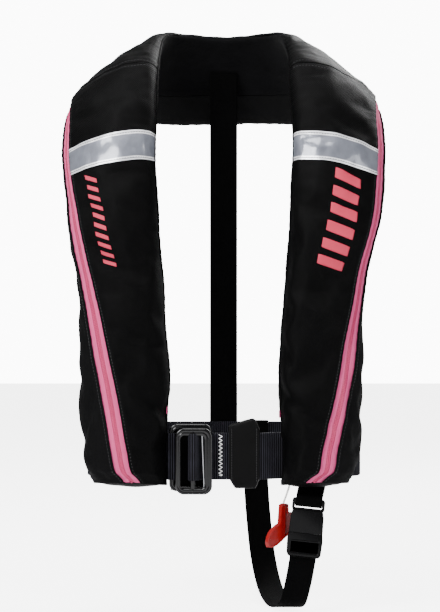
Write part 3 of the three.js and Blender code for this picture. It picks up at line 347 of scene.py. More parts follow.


# Webbing: fine ribs across its run, each broken into picks by the warp; the colour is darkened in the
# grooves between ribs as painted shade.
def webbingCloth(name, color, rib, roughness=0.62, depth=0.00018, gloss=0.25):
    n = Nodes(name, color, roughness, Specular_IOR_Level=gloss)
    where = n.coords()
    split = n.add("SeparateXYZ", {0: where})
    run = n.math("MULTIPLY", split.outputs[0], 2 * math.pi / rib)
    ribs = n.math("ABSOLUTE", n.math("COSINE", run))
    shade = n.ramp(n.noise(where, 60, 3), [(0.3, scaled(color, 0.7)), (0.7, scaled(color, 1.35))])
    # Painted shade: the colour is multiplied down to 0.04 of itself in the grooves between the ribs.
    lines = n.ramp(ribs, [(0.6, (0.04, 0.04, 0.04)), (0.9, (1, 1, 1))])
    tinted = n.add("Mix", {0: 1.0, 6: shade, 7: lines}, data_type="RGBA", blend_type="MULTIPLY")
    n.link(tinted.outputs[2], "Base Color")
    dull = n.add("MapRange", {0: ribs, 3: roughness + 0.15, 4: roughness - 0.12})
    n.link(dull.outputs[0], "Roughness")
    n.link(n.bump(ribs, depth, 0.9, n.bump(n.noise(where, 1500, 2), 0.00008, 0.5)), "Normal")
    return n.material


# Moulded plastic: a fine spark-eroded grain and edges rubbed a little brighter.
def mouldedPlastic(name, color, roughness, grain=0.00003, worn=0.5, coat=0.0, **sockets):
    n = Nodes(name, color, roughness, Coat_Weight=coat, Coat_Roughness=0.08, **sockets)
    where = n.coords(onCloth=False)
    edges = n.add("NewGeometry").outputs["Pointiness"]
    rubbed = n.add("MapRange", {0: edges, 1: 0.51, 2: 0.6, 3: 0.0, 4: worn})
    marks = n.math("MULTIPLY", rubbed.outputs[0], n.noise(where, 260, 3))
    mixed = n.add("Mix", {0: marks, 6: (*color, 1), 7: (*scaled(color, 2.4), 1)}, data_type="RGBA")
    n.link(mixed.outputs[2], "Base Color")
    smudge = n.add("MapRange", {0: n.noise(where, 45, 4), 3: roughness - 0.06, 4: roughness + 0.1})
    n.link(smudge.outputs[0], "Roughness")
    n.link(n.bump(n.noise(where, 2600, 2), grain, 0.8), "Normal")
    return n.material


# Metal: brushed or cast grain under its gloss, with brighter rubbed edges.
def wornMetal(name, color, roughness, edge, metallic=1.0, grain=0.00002, coat=0.0):
    n = Nodes(name, color, roughness, metallic, Coat_Weight=coat, Coat_Roughness=0.06)
    where = n.coords(onCloth=False)
    points = n.add("NewGeometry").outputs["Pointiness"]
    rubbed = n.add("MapRange", {0: points, 1: 0.52, 2: 0.62, 3: 0.0, 4: 0.8})
    marks = n.math("MULTIPLY", rubbed.outputs[0], n.noise(where, 300, 4))
    mixed = n.add("Mix", {0: marks, 6: (*color, 1), 7: (*edge, 1)}, data_type="RGBA")
    n.link(mixed.outputs[2], "Base Color")
    streak = n.add("Mapping", {0: where, 3: (1.0, 1.0, 0.12)})
    smudge = n.add("MapRange", {0: n.noise(streak.outputs[0], 90, 4), 3: roughness - 0.05,
                                4: roughness + 0.12})
    n.link(smudge.outputs[0], "Roughness")
    n.link(n.bump(n.noise(where, 1800, 3), grain, 0.7), "Normal")
    return n.material


# Retroreflective tape: silver prism cells, white border bands, and a soft plastic gloss.
def silverTape(name, width):
    n = Nodes(name, (0.36, 0.38, 0.43), 0.28, 0.35, Coat_Weight=0.8, Coat_Roughness=0.1)
    where = n.coords()
    split = n.add("SeparateXYZ", {0: where})
    fromMiddle = n.math("ABSOLUTE", n.math("DIVIDE", split.outputs[1], width / 2))
    border = n.ramp(fromMiddle, [(0.0, (0.16, 0.17, 0.20)), (0.735, (0.16, 0.17, 0.20)),
                                 (0.75, (0.78, 0.78, 0.80)), (0.82, (0.78, 0.78, 0.80)),
                                 (0.835, (0.10, 0.105, 0.12)), (0.89, (0.10, 0.105, 0.12)),
                                 (0.905, (0.82, 0.82, 0.84)), (1.0, (0.82, 0.82, 0.84))])
    cloudy = n.ramp(n.noise(where, 55, 4, 0.6), [(0.35, (0.8, 0.8, 0.82)), (0.7, (1.15, 1.15, 1.15))])
    tinted = n.add("Mix", {0: 1.0, 6: border, 7: cloudy}, data_type="RGBA", blend_type="MULTIPLY")
    n.link(tinted.outputs[2], "Base Color")
    cells = n.add("TexVoronoi", {"Vector": where, "Scale": 700.0}, feature="DISTANCE_TO_EDGE")
    edge = n.add("MapRange", {0: cells.outputs[0], 1: 0.0, 2: 0.08})
    fold = n.bump(n.noise(where, 70, 3), 0.0012, 0.6)
    n.link(n.bump(edge.outputs[0], 0.00005, 0.5, fold), "Normal")
    return n.material


# Fine fibres lying at random: brushed knit.
def brushedKnit(name, color):
    n = Nodes(name, color, 0.95, Sheen_Weight=0.02, Sheen_Roughness=0.5, Specular_IOR_Level=0.04)
    where = n.coords()
    loops = n.weave(where, 0.0011, 0.7)
    nap = n.noise(where, 1300, 4, 0.7)
    shade = n.ramp(n.noise(where, 40, 4), [(0.3, scaled(color, 0.75)), (0.7, scaled(color, 1.35))])
    n.link(shade, "Base Color")
    n.link(n.bump(nap, 0.00025, 0.8, n.bump(loops, 0.0002, 0.7)), "Normal")
    return n.material


# Braid: two sets of strands crossing at an angle round the cord, the colour darker between the strands as
# painted shade.
def braidedCord(name, color, pitch):
    n = Nodes(name, color, 0.6, Sheen_Weight=0.3, Sheen_Roughness=0.4)
    where = n.coords(onCloth=False)
    turn = n.add("Mapping", {0: where, 2: (0.3, 0.75, 0.4)})
    strands = n.weave(turn.outputs[0], pitch)
    # Painted shade: the colour drops to 0.6 of itself between the strands, in step with the bump.
    n.link(n.ramp(strands, [(0.0, scaled(color, 0.6)), (0.5, color)]), "Base Color")
    n.link(n.bump(strands, 0.0002, 1.0), "Normal")
    return n.material


blackNylon = wovenCloth("black_nylon", (0.0005, 0.0005, 0.0006), 0.0011, 0.5, 0.0, 0.00022, 0.3,
                        gloss=0.045)
backNylon = wovenCloth("back_nylon", (0.0012, 0.0012, 0.0014), 0.0008, 0.7, 0.0, 0.00016, 0.3,
                       gloss=0.06)
softLining = brushedKnit("soft_lining", (0.0018, 0.0018, 0.0021))
zipTape = wovenCloth("zip_tape", (0.56, 0.05, 0.17), 0.0006, 0.7, 0.1, 0.00012, 0.08,
                     scuff=(0.66, 0.09, 0.25), gloss=0.2)
coilNylon = mouldedPlastic("coil_nylon", (0.45, 0.03, 0.115), 0.36)
silverCloth = silverTape("silver_tape", 0.025)
beltWebbing = webbingCloth("belt_webbing", (0.016, 0.016, 0.022), 0.0048, 0.5, 0.0006, gloss=0.08)
strapWebbing = webbingCloth("strap_webbing", (0.0008, 0.0008, 0.001), 0.0012, 0.6, 0.00012, 0.03)
satinWebbing = webbingCloth("satin_webbing", (0.0008, 0.0008, 0.001), 0.0007, 0.36, 0.00006, 0.09)
darkMetal = wornMetal("dark_metal", (0.004, 0.004, 0.0045), 0.13, (0.03, 0.03, 0.032), 0.5, 0.00001,
                      0.25)
plainSteel = wornMetal("plain_steel", (0.45, 0.46, 0.48), 0.28, (0.8, 0.8, 0.82))
paintedSteel = wornMetal("painted_steel", (0.045, 0.07, 0.052), 0.32, (0.3, 0.33, 0.3), 0.3,
                         0.00003, 0.5)
blackPlastic = mouldedPlastic("black_plastic", (0.0012, 0.0012, 0.0014), 0.25,
                              Specular_IOR_Level=0.12)
greyPlastic = mouldedPlastic("grey_plastic", (0.09, 0.10, 0.11), 0.42)
orangeRubber = mouldedPlastic("orange_rubber", (0.68, 0.14, 0.03), 0.5)
redPlastic = mouldedPlastic("red_plastic", (0.22, 0.006, 0.006), 0.24, 0.00002, 0.2, 0.08,
                            Specular_IOR_Level=0.25)
filmYellow = wovenCloth("bladder_film", (0.80, 0.52, 0.02), 0.0005, 0.45, 0.0, 0.00006, 0.08)
blackThread = mouldedPlastic("black_thread", (0.018, 0.018, 0.020), 0.6)
whiteThread = mouldedPlastic("white_thread", (0.80, 0.80, 0.80), 0.6)
pinkInk = wovenCloth("pink_ink", (0.50, 0.035, 0.07), 0.0011, 0.6, 0.0, 0.00012, 0.12, gloss=0.2)
whiteCord = braidedCord("white_cord", (0.86, 0.86, 0.84), 0.0007)
print("materials made:", len(bpy.data.materials))


studio = dict(
    cameraPlace=(-0.00424, -2.110, -0.245), lens=111.0, sensor=36.0, floorDrop=0.002, floorHalf=6.0,
    world=0.32, floorGlow=5.0, backdrop=14.0,
    lights={                         # place, aim, width and height, watts
        "key": ((-1.1, -1.6, 0.9), (0, 0, -0.2), (0.9, 1.2), 80.0),
        "fill": ((1.5, -1.3, 0.1), (0, 0, -0.25), (0.8, 1.4), 18.0),
        "rim": ((0.9, 1.3, 0.9), (0, 0, -0.1), (1.2, 0.8), 30.0),
        "top": ((-0.2, -0.3, 1.5), (0, 0, -0.2), (1.2, 0.8), 36.0)})


# A soft rectangular light at a place, turned towards its aim.
def makeLight(name, place, aim, size, power):
    light = bpy.data.lights.new(name, "AREA")
    light.shape = "RECTANGLE"
    light.size, light.size_y = size
    light.energy = power
    lamp = bpy.data.objects.new(name, light)
    bpy.context.scene.collection.objects.link(lamp)
    lamp.location = place
    lamp.rotation_euler = (Vector(aim) - Vector(place)).to_track_quat("-Z", "Y").to_euler()


# Camera level with the chest, a floor just under the strap, and a backdrop that is white to the
# eye and dimmer as a light.
def makeStudio(s):
    camera = bpy.data.cameras.new("camera")
    camera.lens, camera.sensor_width = s["lens"], s["sensor"]
    view = bpy.data.objects.new("camera", camera)
    bpy.context.scene.collection.objects.link(view)
    view.location = s["cameraPlace"]
    view.rotation_euler = (math.pi / 2, 0, 0)
    bpy.context.scene.camera = view
    low = cadBounds[0][2] - s["floorDrop"]
    half = s["floorHalf"]
    corners = np.array([[-half, -half, low], [half, -half, low], [half, half, low], [-half, half, low]])
    mesh = bpy.data.meshes.new("floor")
    mesh.from_pydata(corners.tolist(), [], [(0, 1, 2, 3)])
    floor = bpy.data.objects.new("floor", mesh)
    bpy.context.scene.collection.objects.link(floor)
    pale = Nodes("pale_floor", (0.86, 0.86, 0.87), 0.8, Emission_Color=(1, 1, 1, 1))
    sight = pale.add("LightPath").outputs["Is Camera Ray"]
    pale.link(pale.math("MULTIPLY", sight, s["floorGlow"]), "Emission Strength")
    floor.data.materials.append(pale.material)
    world = bpy.data.worlds.new("studio")
    world.use_nodes = True
    bpy.context.scene.world = world
    tree = world.node_tree
    background = tree.nodes.get("Background")
    background.inputs[0].default_value = (1.0, 1.0, 1.0, 1)
    background.inputs[1].default_value = s["world"]
    backdrop = tree.nodes.new("ShaderNodeBackground")
    backdrop.inputs[1].default_value = s["backdrop"]
    seen = tree.nodes.new("ShaderNodeLightPath")
    mixed = tree.nodes.new("ShaderNodeMixShader")
    tree.links.new(seen.outputs["Is Camera Ray"], mixed.inputs[0])
    tree.links.new(background.outputs[0], mixed.inputs[1])
    tree.links.new(backdrop.outputs[0], mixed.inputs[2])
    tree.links.new(mixed.outputs[0], tree.nodes["World Output"].inputs[0])
    for name, light in s["lights"].items():
        makeLight(name, *light)


makeStudio(studio)
print("studio ready")


pullCord = dict(diameter=2.2 * mm, points=24,            # places in millimetres
                leverEye=(79.9, -109, -386.2), hemHole=(69.1, -100, -438.5),
                bend=(66.6, -95, -447), handleTop=(64, -86, -455.7))


# The cord: straight from the lever through the hem, then one parabola down to the handle.
def makeCord(c):
    eye, hole, bend, end = (np.array(c[key]) * mm for key in ("leverEye", "hemHole", "bend", "handleTop"))
    t = np.linspace(0, 1, 14)[1:, None]
    curve = (1 - t) ** 2 * hole + 2 * t * (1 - t) * bend + t ** 2 * end
    straight = eye + (hole - eye) * np.linspace(0, 1, 8)[:, None]
    line = np.vstack([straight, curve])
    route = resample(line, runLength(line)[-1] / c["points"])
    piece = tube("pull_cord_braid", route, c["diameter"] / 2, 12)
    finishPiece(piece, whiteCord, "pull_cord", ["pull_cord"])
    return piece, route


cordPiece, cordRoute = makeCord(pullCord)
print("pull cord made")


jacket = dict(hemDrop=0.437, chestDepth=0.097, collarBack=0.136, collarRise=0.050, neckHalf=0.070,
              shoulderHalf=0.169, leftTaper=0.955, padThickness=0.042, arch=0.005)
# Sweep: how far in front of the outer edge the zip lies at each station, nape to hem, in millimetres.
zipSizes = dict(window=17 * mm, tapeWidth=8.9 * mm, tuck=3 * mm, parkGap=28 * mm, pitch=1.7 * mm,
                tapeTop=2.1 * mm, coreHalf=3.4 * mm,
                rightSweep=[8, 8, 8, 9.5, 14, 19, 22, 28, 36, 55.5, 67, 64, 61],
                leftSweep=[6.5, 6.5, 7, 10, 16, 22, 23.5, 25, 28.5, 45, 60.5, 57, 58.5])

# From the nape to the hem: inner edge x, y, z, outer edge x, y, z and thickness, each as a share
# of the sizes above.
stations = np.array([
    [0.000, 0.515, 1.180, 0.000, 1.000, -0.075, 0.70],
    [0.514, 0.456, 1.200, 0.488, 0.897, -0.080, 0.70],
    [0.800, 0.294, 1.160, 0.767, 0.618, -0.085, 0.65],
    [0.930, 0.030, 0.700, 0.905, 0.250, -0.075, 0.65],
    [0.955, -0.350, 0.130, 0.970, -0.020, -0.092, 0.74],
    [0.965, -0.660, -0.090, 0.995, -0.290, -0.140, 0.85],
    [0.985, -0.887, -0.201, 0.990, -0.515, -0.222, 0.93],
    [0.935, -1.000, -0.343, 0.955, -0.680, -0.348, 0.98],
    [0.860, -1.000, -0.526, 0.890, -0.742, -0.526, 1.00],
    [0.785, -0.980, -0.737, 0.886, -0.742, -0.737, 1.00],
    [0.842, -0.950, -0.915, 0.865, -0.722, -0.906, 1.00],
    [0.842, -0.950, -0.970, 0.828, -0.742, -0.966, 0.95],
    [0.845, -0.940, -1.000, 0.805, -0.790, -0.998, 0.74],
])
hem = len(stations) - 1
shoulderSeam = 4
loopAngles = np.linspace(0, 2 * np.pi, 385)


# World place of an edge point: shares times the driving sizes, by the signs of y and z.
def edgePlace(side, half, x, y, z):
    return np.stack([side * x * half,
                     y * np.where(y < 0, jacket["chestDepth"], jacket["collarBack"]),
                     z * np.where(z < 0, jacket["hemDrop"], jacket["collarRise"])], -1)


# Joins the wearer's right side, hem to nape, to the left side, nape to hem.
def bothSides(pick):
    return np.vstack([pick(-1, stations[1:][::-1]), pick(1, stations)])


# Outer edge points of one side; the left lobe is narrower below the chest by leftTaper.
def outerSide(side, table):
    taper = np.where((side > 0) & (table[:, 5] < -0.4), jacket["leftTaper"], 1.0)
    return edgePlace(side, jacket["shoulderHalf"] * taper, table[:, 3], table[:, 4], table[:, 5])


innerPoints = bothSides(lambda side, t: edgePlace(side, jacket["neckHalf"], t[:, 0], t[:, 1], t[:, 2]))
outerPoints = bothSides(outerSide)
thickness = stations[:, 6] * jacket["padThickness"]
sweep = {side: np.array(zipSizes[name]) * mm for side, name in ((-1, "rightSweep"), (1, "leftSweep"))}
padPoints = np.vstack([
    np.stack([thickness[1:][::-1], sweep[-1][1:][::-1], thickness[1:] * 0], -1),
    np.stack([thickness, sweep[1], thickness * 0], -1)])


# The section at each row s: a rounded D, |cos| to 0.65 wide and |sin| to 0.75 high, over a waist
# of 0.35 of the thickness, arched in the middle, and measured by arc length from its inner edge.
def sectionsAt(s):
    s = np.asarray(s, float)
    inner, outer, pad = (smoothCurve(points, s + hem) for points in (innerPoints, outerPoints, padPoints))
    step = np.where(s > 0, -0.01, 0.01)
    middle = inner + outer
    beside = smoothCurve(innerPoints, s + step + hem) + smoothCurve(outerPoints, s + step + hem)
    along = unit((beside - middle) * np.sign(step)[:, None])
    across = unit(outer - inner)
    outward = unit(np.cross(along, across))
    width = np.linalg.norm(outer - inner, axis=1)[:, None]
    thick = pad[:, :1]
    waist = 0.35 * thick
    side, rise = np.cos(loopAngles), np.sin(loopAngles)
    share = -np.sign(side) * np.abs(side) ** 0.65
    height = np.where(rise < 0, waist, thick - waist)
    h = waist + height * np.sign(rise) * np.abs(rise) ** 0.75 + jacket["arch"] * (1 - share ** 2)
    a = share * width / 2
    chord = np.hypot(np.diff(a, axis=1), np.diff(h, axis=1))
    length = np.hstack([np.zeros((len(s), 1)), np.cumsum(chord, axis=1)])
    nextOne = np.r_[1:len(loopAngles), 1]
    previous = np.r_[len(loopAngles) - 2, 0:len(loopAngles) - 1]
    da, dh = a[:, nextOne] - a[:, previous], h[:, nextOne] - h[:, previous]
    run = np.maximum(np.hypot(da, dh), 1e-9)
    half = len(loopAngles) // 2
    return dict(middle=middle / 2, across=across, outward=outward, along=along, a=a, h=h, length=length,
                normalA=-dh / run, normalH=da / run, front=length[:, half:half + 1],
                total=length[:, -1:], zipAt=length[:, half:half + 1] - pad[:, 1:2])


rowTable = np.linspace(-hem, hem, 961)
tableCut = sectionsAt(rowTable)
rowRun = runLength(tableCut["middle"])
napeRun = np.interp(0.0, rowTable, rowRun)


# Distance from the nape along the band's middle at row s.
def alongAt(s):
    return np.interp(s, rowTable, rowRun) - napeRun


# Rows about step apart between two stations, with extra ones close to both ends.
def rowsBetween(start, end, step, edge=0.9 * mm):
    runs = np.interp([start, end], rowTable, rowRun)
    middle = np.linspace(runs[0] + edge, runs[1] - edge, max(3, int((runs[1] - runs[0]) / step)))
    near = edge * np.array([0.0, 0.12, 0.45])
    return np.interp(np.concatenate([runs[0] + near, middle, runs[1] - near[::-1]]), rowRun, rowTable)


# Arc lengths from one edge to the other, with extra ones close to both edges.
def lengthsBetween(start, end, step, edge=0.9 * mm):
    count = max(3, int(float((end - start).mean()) / step))
    near = edge * np.array([0.0, 0.12, 0.45])
    inner = start + edge + (end - start - 2 * edge) * np.linspace(0, 1, count)
    return np.hstack([start + near, inner, end - near[::-1]])


# Creases pressed into the cloth: middle x and z, heading in degrees, length, width and depth.
creases = np.array([
    [-77, -336, -52, 60, 11, 2.2],
    [-88, -352, -47, 45, 8, -1.3],
    [-70, -395, 12, 35, 7, 1.3],
    [-148, -375, 80, 38, 4.5, 1.8],
    [-140, -345, 74, 40, 5, 1.2],
    [-100, -268, -64, 55, 12, 0.9],
    [-127, -30, 35, 35, 10, 1.0],
    [75, -352, -38, 40, 8, 1.9],
    [92, -372, -30, 38, 7, -1.2],
    [62, -390, -12, 30, 6, 1.2],
    [134, -355, 82, 45, 5, 1.9],
    [141, -385, 99, 40, 4.5, 1.5],
    [95, -250, 66, 60, 12, 0.9],
    [122, -40, -40, 35, 10, 1.0],
    [80, -150, 78, 60, 12, 0.8],
    [-85, -160, -76, 60, 12, 0.8],
]) * [mm, mm, 1, mm, mm, mm]


reliefSizes = dict(billow=0.9 * mm, billowLength=0.085, ripple=0.28 * mm, rippleLength=0.026,
                   gather=0.22 * mm, gatherPitch=8.5 * mm, gatherWander=0.057, gatherReach=7 * mm)


# How far cloth stands out of the plain band: slow billows, small ripples, pressed creases on the
# front, and gathers that fade away from the zip and the inner seam.
def reliefAt(points, outwardY, u, v, fromSeam):
    r = reliefSizes
    relief = (r["billow"] * softNoise(u, v, r["billowLength"], 3)
              + r["ripple"] * softNoise(u, v, r["rippleLength"], 5))
    gather = np.sin(2 * np.pi * u / r["gatherPitch"] + 2.2 * np.sin(2 * np.pi * u / r["gatherWander"]))
    relief = relief + r["gather"] * gather * np.exp(-(fromSeam / r["gatherReach"]) ** 2)
    front = np.clip(-outwardY * 3, 0, 1)
    for x, z, heading, length, width, depth in creases:
        heading = math.radians(heading)
        right, up = points[..., 0] - x, points[..., 2] - z
        onward = right * math.cos(heading) + up * math.sin(heading)
        aside = -right * math.sin(heading) + up * math.cos(heading)
        bow = (aside - 3.0 * onward ** 2) / width
        fade = np.exp(-(onward / length) ** 4)
        relief = relief - front * depth * fade * (np.exp(-bow ** 2) - 0.45 * np.exp(-(bow - 1.7) ** 2))
    return relief


# Weights of a cubic through four neighbours, at a share between the middle two.
def cubicWeights(t):
    return [(-t + 2 * t ** 2 - t ** 3) / 2, (2 - 5 * t ** 2 + 3 * t ** 3) / 2,
            (t + 4 * t ** 2 - 3 * t ** 3) / 2, (-t ** 2 + t ** 3) / 2]


swell = dict(rows=241, cols=60, pressure=4.0, slack=-0.035, frames=20, cap=4.5 * mm, keepBulk=0.35,
             zipHold=17 * mm, seamHold=8 * mm, behindHold=0.5, quality=5, mass=0.25, stretch=12,
             shear=6, bending=0.25, pin=20.0)
swellField = np.zeros((swell["rows"], swell["cols"], 3))


# The simulated movement of the cloth at each row and share of the loop, from its coarse grid.
def swellAt(s, share):
    rows, cols = swellField.shape[:2]
    u = np.clip((s + hem) / (2 * hem), 0, 1) * (rows - 1)
    v = share * cols
    i, j = np.floor(u).astype(int), np.floor(v).astype(int)
    total = 0
    for m, alongWeight in enumerate(cubicWeights(u - i)):
        for n, aroundWeight in enumerate(cubicWeights(v - j)):
            weight = (alongWeight * aroundWeight)[..., None]
            total = total + weight * swellField[np.clip(i + m - 1, 0, rows - 1), (j + n - 1) % cols]
    return total


# A point of the band at row s and arc length, sunk by depth; the cloth's relief and the
# simulated swell are added to every layer alike.
def skin(s, lengths, depth=0.0, relief=1.0):
    s = np.asarray(s, float)
    cut = sectionsAt(s)
    lengths = np.broadcast_to(lengths, (len(s), np.shape(lengths)[-1]))
    around = np.mod(lengths, cut["total"])
    shift = np.arange(len(s))[:, None] * 10.0
    keys = (cut["length"] + shift).ravel()
    wanted = (around + shift).ravel()
    a, h, normalA, normalH = (np.interp(wanted, keys, cut[field].ravel()).reshape(around.shape)[..., None]
                              for field in ("a", "h", "normalA", "normalH"))
    across, outward = cut["across"][:, None], cut["outward"][:, None]
    normal = unit(across * normalA + outward * normalH)
    point = cut["middle"][:, None] + across * a + outward * h
    if relief:
        u = np.broadcast_to(alongAt(s)[:, None], around.shape)
        fromZip = np.abs(np.abs(around - cut["zipAt"]) - zipSizes["window"] / 2)
        fromEdge = np.minimum(around, cut["total"] - around)
        raised = reliefAt(point, normal[..., 1], u, around - cut["zipAt"], np.minimum(fromZip, fromEdge))
        hold = np.clip((hem - np.abs(s)) / 0.4, 0.25, 1)[:, None]
        point = point + normal * (raised * relief * hold)[..., None]
        point = point + relief * swellAt(np.broadcast_to(s[:, None], around.shape), around / cut["total"])
    return point - normal * (np.asarray(depth)[..., None] if np.ndim(depth) else depth)


# Each point takes half its own movement and an eighth of its four neighbours', a few times over.
def settle(field, times):
    for _ in range(times):
        padded = np.concatenate([field[:1], field, field[-1:]])
        beside = padded[:-2] + padded[2:] + np.roll(field, 1, 1) + np.roll(field, -1, 1)
        field = field / 2 + beside / 8
    return field


# Cloth swelling under gas pressure: the band as one closed bag of slack cloth, held at the zip,
# the inner seam and the hems, blown for a few frames; its movement is kept for every layer.
def simulateSwell(w):
    rows = np.linspace(-hem, hem, w["rows"])
    cut = sectionsAt(rows)
    share = np.arange(w["cols"]) / w["cols"]
    rings = skin(rows, share * cut["total"], 0.0)
    bag = makeRings("swell_bag", rings)
    lengths = share * cut["total"]
    fromZip = np.abs(lengths - cut["zipAt"])
    fromEdge = np.minimum(lengths, cut["total"] - lengths)
    held = np.exp(-(fromZip / w["zipHold"]) ** 6) + 0.95 * np.exp(-(fromEdge / w["seamHold"]) ** 2)
    held = np.clip(held + (np.abs(rows)[:, None] > hem - 0.25), 0, 1)
    behind = np.clip((lengths - cut["front"]) / 0.02, 0, 1) * w["behindHold"]
    held = np.maximum(held, behind)
    group = bag.vertex_groups.new(name="held")
    for index, weight in enumerate(held.ravel()):
        if weight > 0.02:
            group.add([index], float(weight), "REPLACE")
    ends = held.size
    group.add([ends, ends + 1], 1.0, "REPLACE")
    cloth = bag.modifiers.new("cloth", "CLOTH")
    settings = cloth.settings
    settings.quality = w["quality"]
    settings.mass = w["mass"]
    settings.tension_stiffness = settings.compression_stiffness = w["stretch"]
    settings.shear_stiffness = w["shear"]
    settings.bending_stiffness = w["bending"]
    settings.use_pressure = True
    settings.uniform_pressure_force = w["pressure"]
    settings.shrink_min = w["slack"]
    settings.vertex_group_mass = "held"
    settings.pin_stiffness = w["pin"]
    settings.effector_weights.gravity = 0
    cloth.collision_settings.use_collision = False
    cloth.point_cache.frame_start, cloth.point_cache.frame_end = 1, w["frames"]
    scene = bpy.context.scene
    for number in range(1, w["frames"] + 1):
        scene.frame_set(number)
    settled = bag.evaluated_get(bpy.context.evaluated_depsgraph_get())
    moved = np.empty(len(bag.data.vertices) * 3, np.float32)
    settled.data.vertices.foreach_get("co", moved)
    field = moved.reshape(-1, 3)[:ends].reshape(rings.shape) - rings
    field = settle(field, 2)
    field = field - (1 - w["keepBulk"]) * settle(field, 14)
    field = field * (1 - np.clip(held, 0, 0.97))[..., None]
    size = np.linalg.norm(field, axis=-1, keepdims=True)
    field = field * (w["cap"] * np.tanh(size / w["cap"]) / np.maximum(size, 1e-9))
    scene.frame_set(1)
    bpy.data.objects.remove(bag)
    print("cloth settled, most moved mm:", round(float(size.max() / mm), 2))
    return field


swellField = simulateSwell(swell)


coverCloth = dict(thickness=1.8 * mm, step=2.4 * mm, seamGap=0.15 * mm, hemFold=7 * mm,
                  foldRise=0.35 * mm, stitchFrom=3.2 * mm, stitchSink=0.35 * mm,
                  liningShare=0.36,      # of the way from the zip to the inner seam, behind
                  seamHalf=0.004)        # of a station, left open on each side of a shoulder seam


# Share of full thickness near an edge: a quarter round of the given radius.
def roundOff(distance, radius):
    return np.sqrt(np.clip(1 - (1 - np.clip(distance / radius, 0, 1)) ** 2, 0, 1))


# A cloth panel of the band between two arc lengths. At each folded edge it stands a little
# higher over the width of the fold, and a line of stitches presses it down.
def panel(name, start, end, rows, top, thickness, step, folds=(0, 0), sinks=(0, 0), ends=(0, 0)):
    cut = sectionsAt(rows)
    lengths = lengthsBetween(start(cut), end(cut), step)
    first, last = lengths[:, :1], lengths[:, -1:]
    run = alongAt(rows)[:, None]
    edges = (lengths - first, last - lengths)
    tips = (run - run[0], run[-1] - run)
    half = thickness / 2
    full = roundOff(edges[0], half) * roundOff(edges[1], half) * roundOff(tips[0], half) \
        * roundOff(tips[1], half)
    rise = 0
    c = coverCloth
    for distance, fold, sink in list(zip(edges, folds, sinks)) + list(zip(tips, ends, ends)):
        if fold:
            rise = rise + c["foldRise"] / (1 + np.exp((distance - c["hemFold"]) / 0.0005))
        if sink:
            rise = rise - c["stitchSink"] * np.exp(-((distance - c["stitchFrom"]) / 0.0009) ** 2)
    centre = top + half - rise
    outer = skin(rows, lengths, centre - half * full)
    inner = skin(rows, lengths, centre + half * full)
    uv = np.stack([np.broadcast_to(run, lengths.shape), lengths - cut["zipAt"]], -1)
    points, faces, coords = sheetPoints(outer, inner, uv)
    return makeObject(name, points, faces, coords)


halfWindow = zipSizes["window"] / 2
gap = coverCloth["seamGap"]
lobeEnd, collarEnd = shoulderSeam + coverCloth["seamHalf"], shoulderSeam - coverCloth["seamHalf"]
panelSpans = {"right": (-hem, -lobeEnd), "left": (lobeEnd, hem), "collar": (-collarEnd, collarEnd)}


# The front panel starts half a seam gap from the inner edge.
def frontStart(cut):
    return cut["total"] * 0 + gap


# It ends half a window before the zip.
def frontEnd(cut):
    return cut["zipAt"] - halfWindow


# The rear panel starts half a window past the zip.
def rearStart(cut):
    return cut["zipAt"] + halfWindow


# It ends half a seam gap short of the whole loop.
def rearEnd(cut):
    return cut["total"] - gap


# Where the collar's rear panel meets the lining: a fixed share of the way across.
def liningEdge(cut):
    return rearStart(cut) + (rearEnd(cut) - rearStart(cut)) * coverCloth["liningShare"]


# Front and rear panel of each lobe and of the collar, and the lining.
def makeCovers():
    for side, (start, end) in panelSpans.items():
        rows = rowsBetween(start, end, coverCloth["step"])
        front = panel(side + "_front_cloth", frontStart, frontEnd, rows, 0.0, coverCloth["thickness"],
                      coverCloth["step"], folds=(0, 1), sinks=(0, 1), ends=(1, 1))
        finishPiece(front, blackNylon, stands=[side + "_front_cover"])
        rearLast = liningEdge if side == "collar" else rearEnd
        rear = panel(side + "_rear_cloth", rearStart, rearLast, rows, 0.0, coverCloth["thickness"],
                     coverCloth["step"], folds=(1, 0), sinks=(1, 0), ends=(1, 1))
        finishPiece(rear, backNylon, stands=[side + "_rear_cover"])
        cut = sectionsAt(rows)
        for piece, first, last in ((front, frontStart, frontEnd), (rear, rearStart, rearLast)):
            breadth = (last(cut) - first(cut)).ravel()
    rows = rowsBetween(*panelSpans["collar"], coverCloth["step"])
    lining = panel("collar_soft_lining", lambda cut: liningEdge(cut) + 0.4 * mm, rearEnd, rows,
                   -0.3 * mm, 2.4 * mm, coverCloth["step"], folds=(1, 1), sinks=(1, 1), ends=(1, 1))
    finishPiece(lining, softLining, stands=["collar_lining"])


makeCovers()
print("cover panels made")


# Seam allowance: the folded cloth that lies under the seam between a lobe and the collar.
def makeSeamAllowance(side):
    name = "left" if side > 0 else "right"
    rows = rowsBetween(side * shoulderSeam - 0.05, side * shoulderSeam + 0.05, 1.5 * mm)
    spans = {"front": (frontStart, lambda cut: frontEnd(cut) - 3.6 * mm),
             "rear": (lambda cut: rearStart(cut) + 3.6 * mm, rearEnd)}
    for part, (start, end) in spans.items():
        piece = panel("%s_%s_seam_allowance" % (name, part), start, end, rows, 1.9 * mm, 0.5 * mm,
                      coverCloth["step"])
        finishPiece(piece, backNylon)


for side in (-1, 1):
    makeSeamAllowance(side)


binding = dict(radius=1.35 * mm, sink=0.35 * mm, fromHem=0.05)


# Edge binding: a narrow round tape along the seam where front and rear cloth meet.
def makeBinding(b):
    rows = rowsBetween(-hem + b["fromHem"], hem - b["fromHem"], 3 * mm)
    path = skin(rows, np.zeros((len(rows), 1)), b["sink"])[:, 0]
    finishPiece(tube("inner_edge_piping", path, b["radius"], 12), strapWebbing)


makeBinding(binding)

gussetCloth = dict(loops=120, rings=22, fromHem=0.02, sink=1.75 * mm, dome=4.5 * mm, drop=1.2 * mm,
                   thickness=1.4 * mm, wrinkle=0.5 * mm)


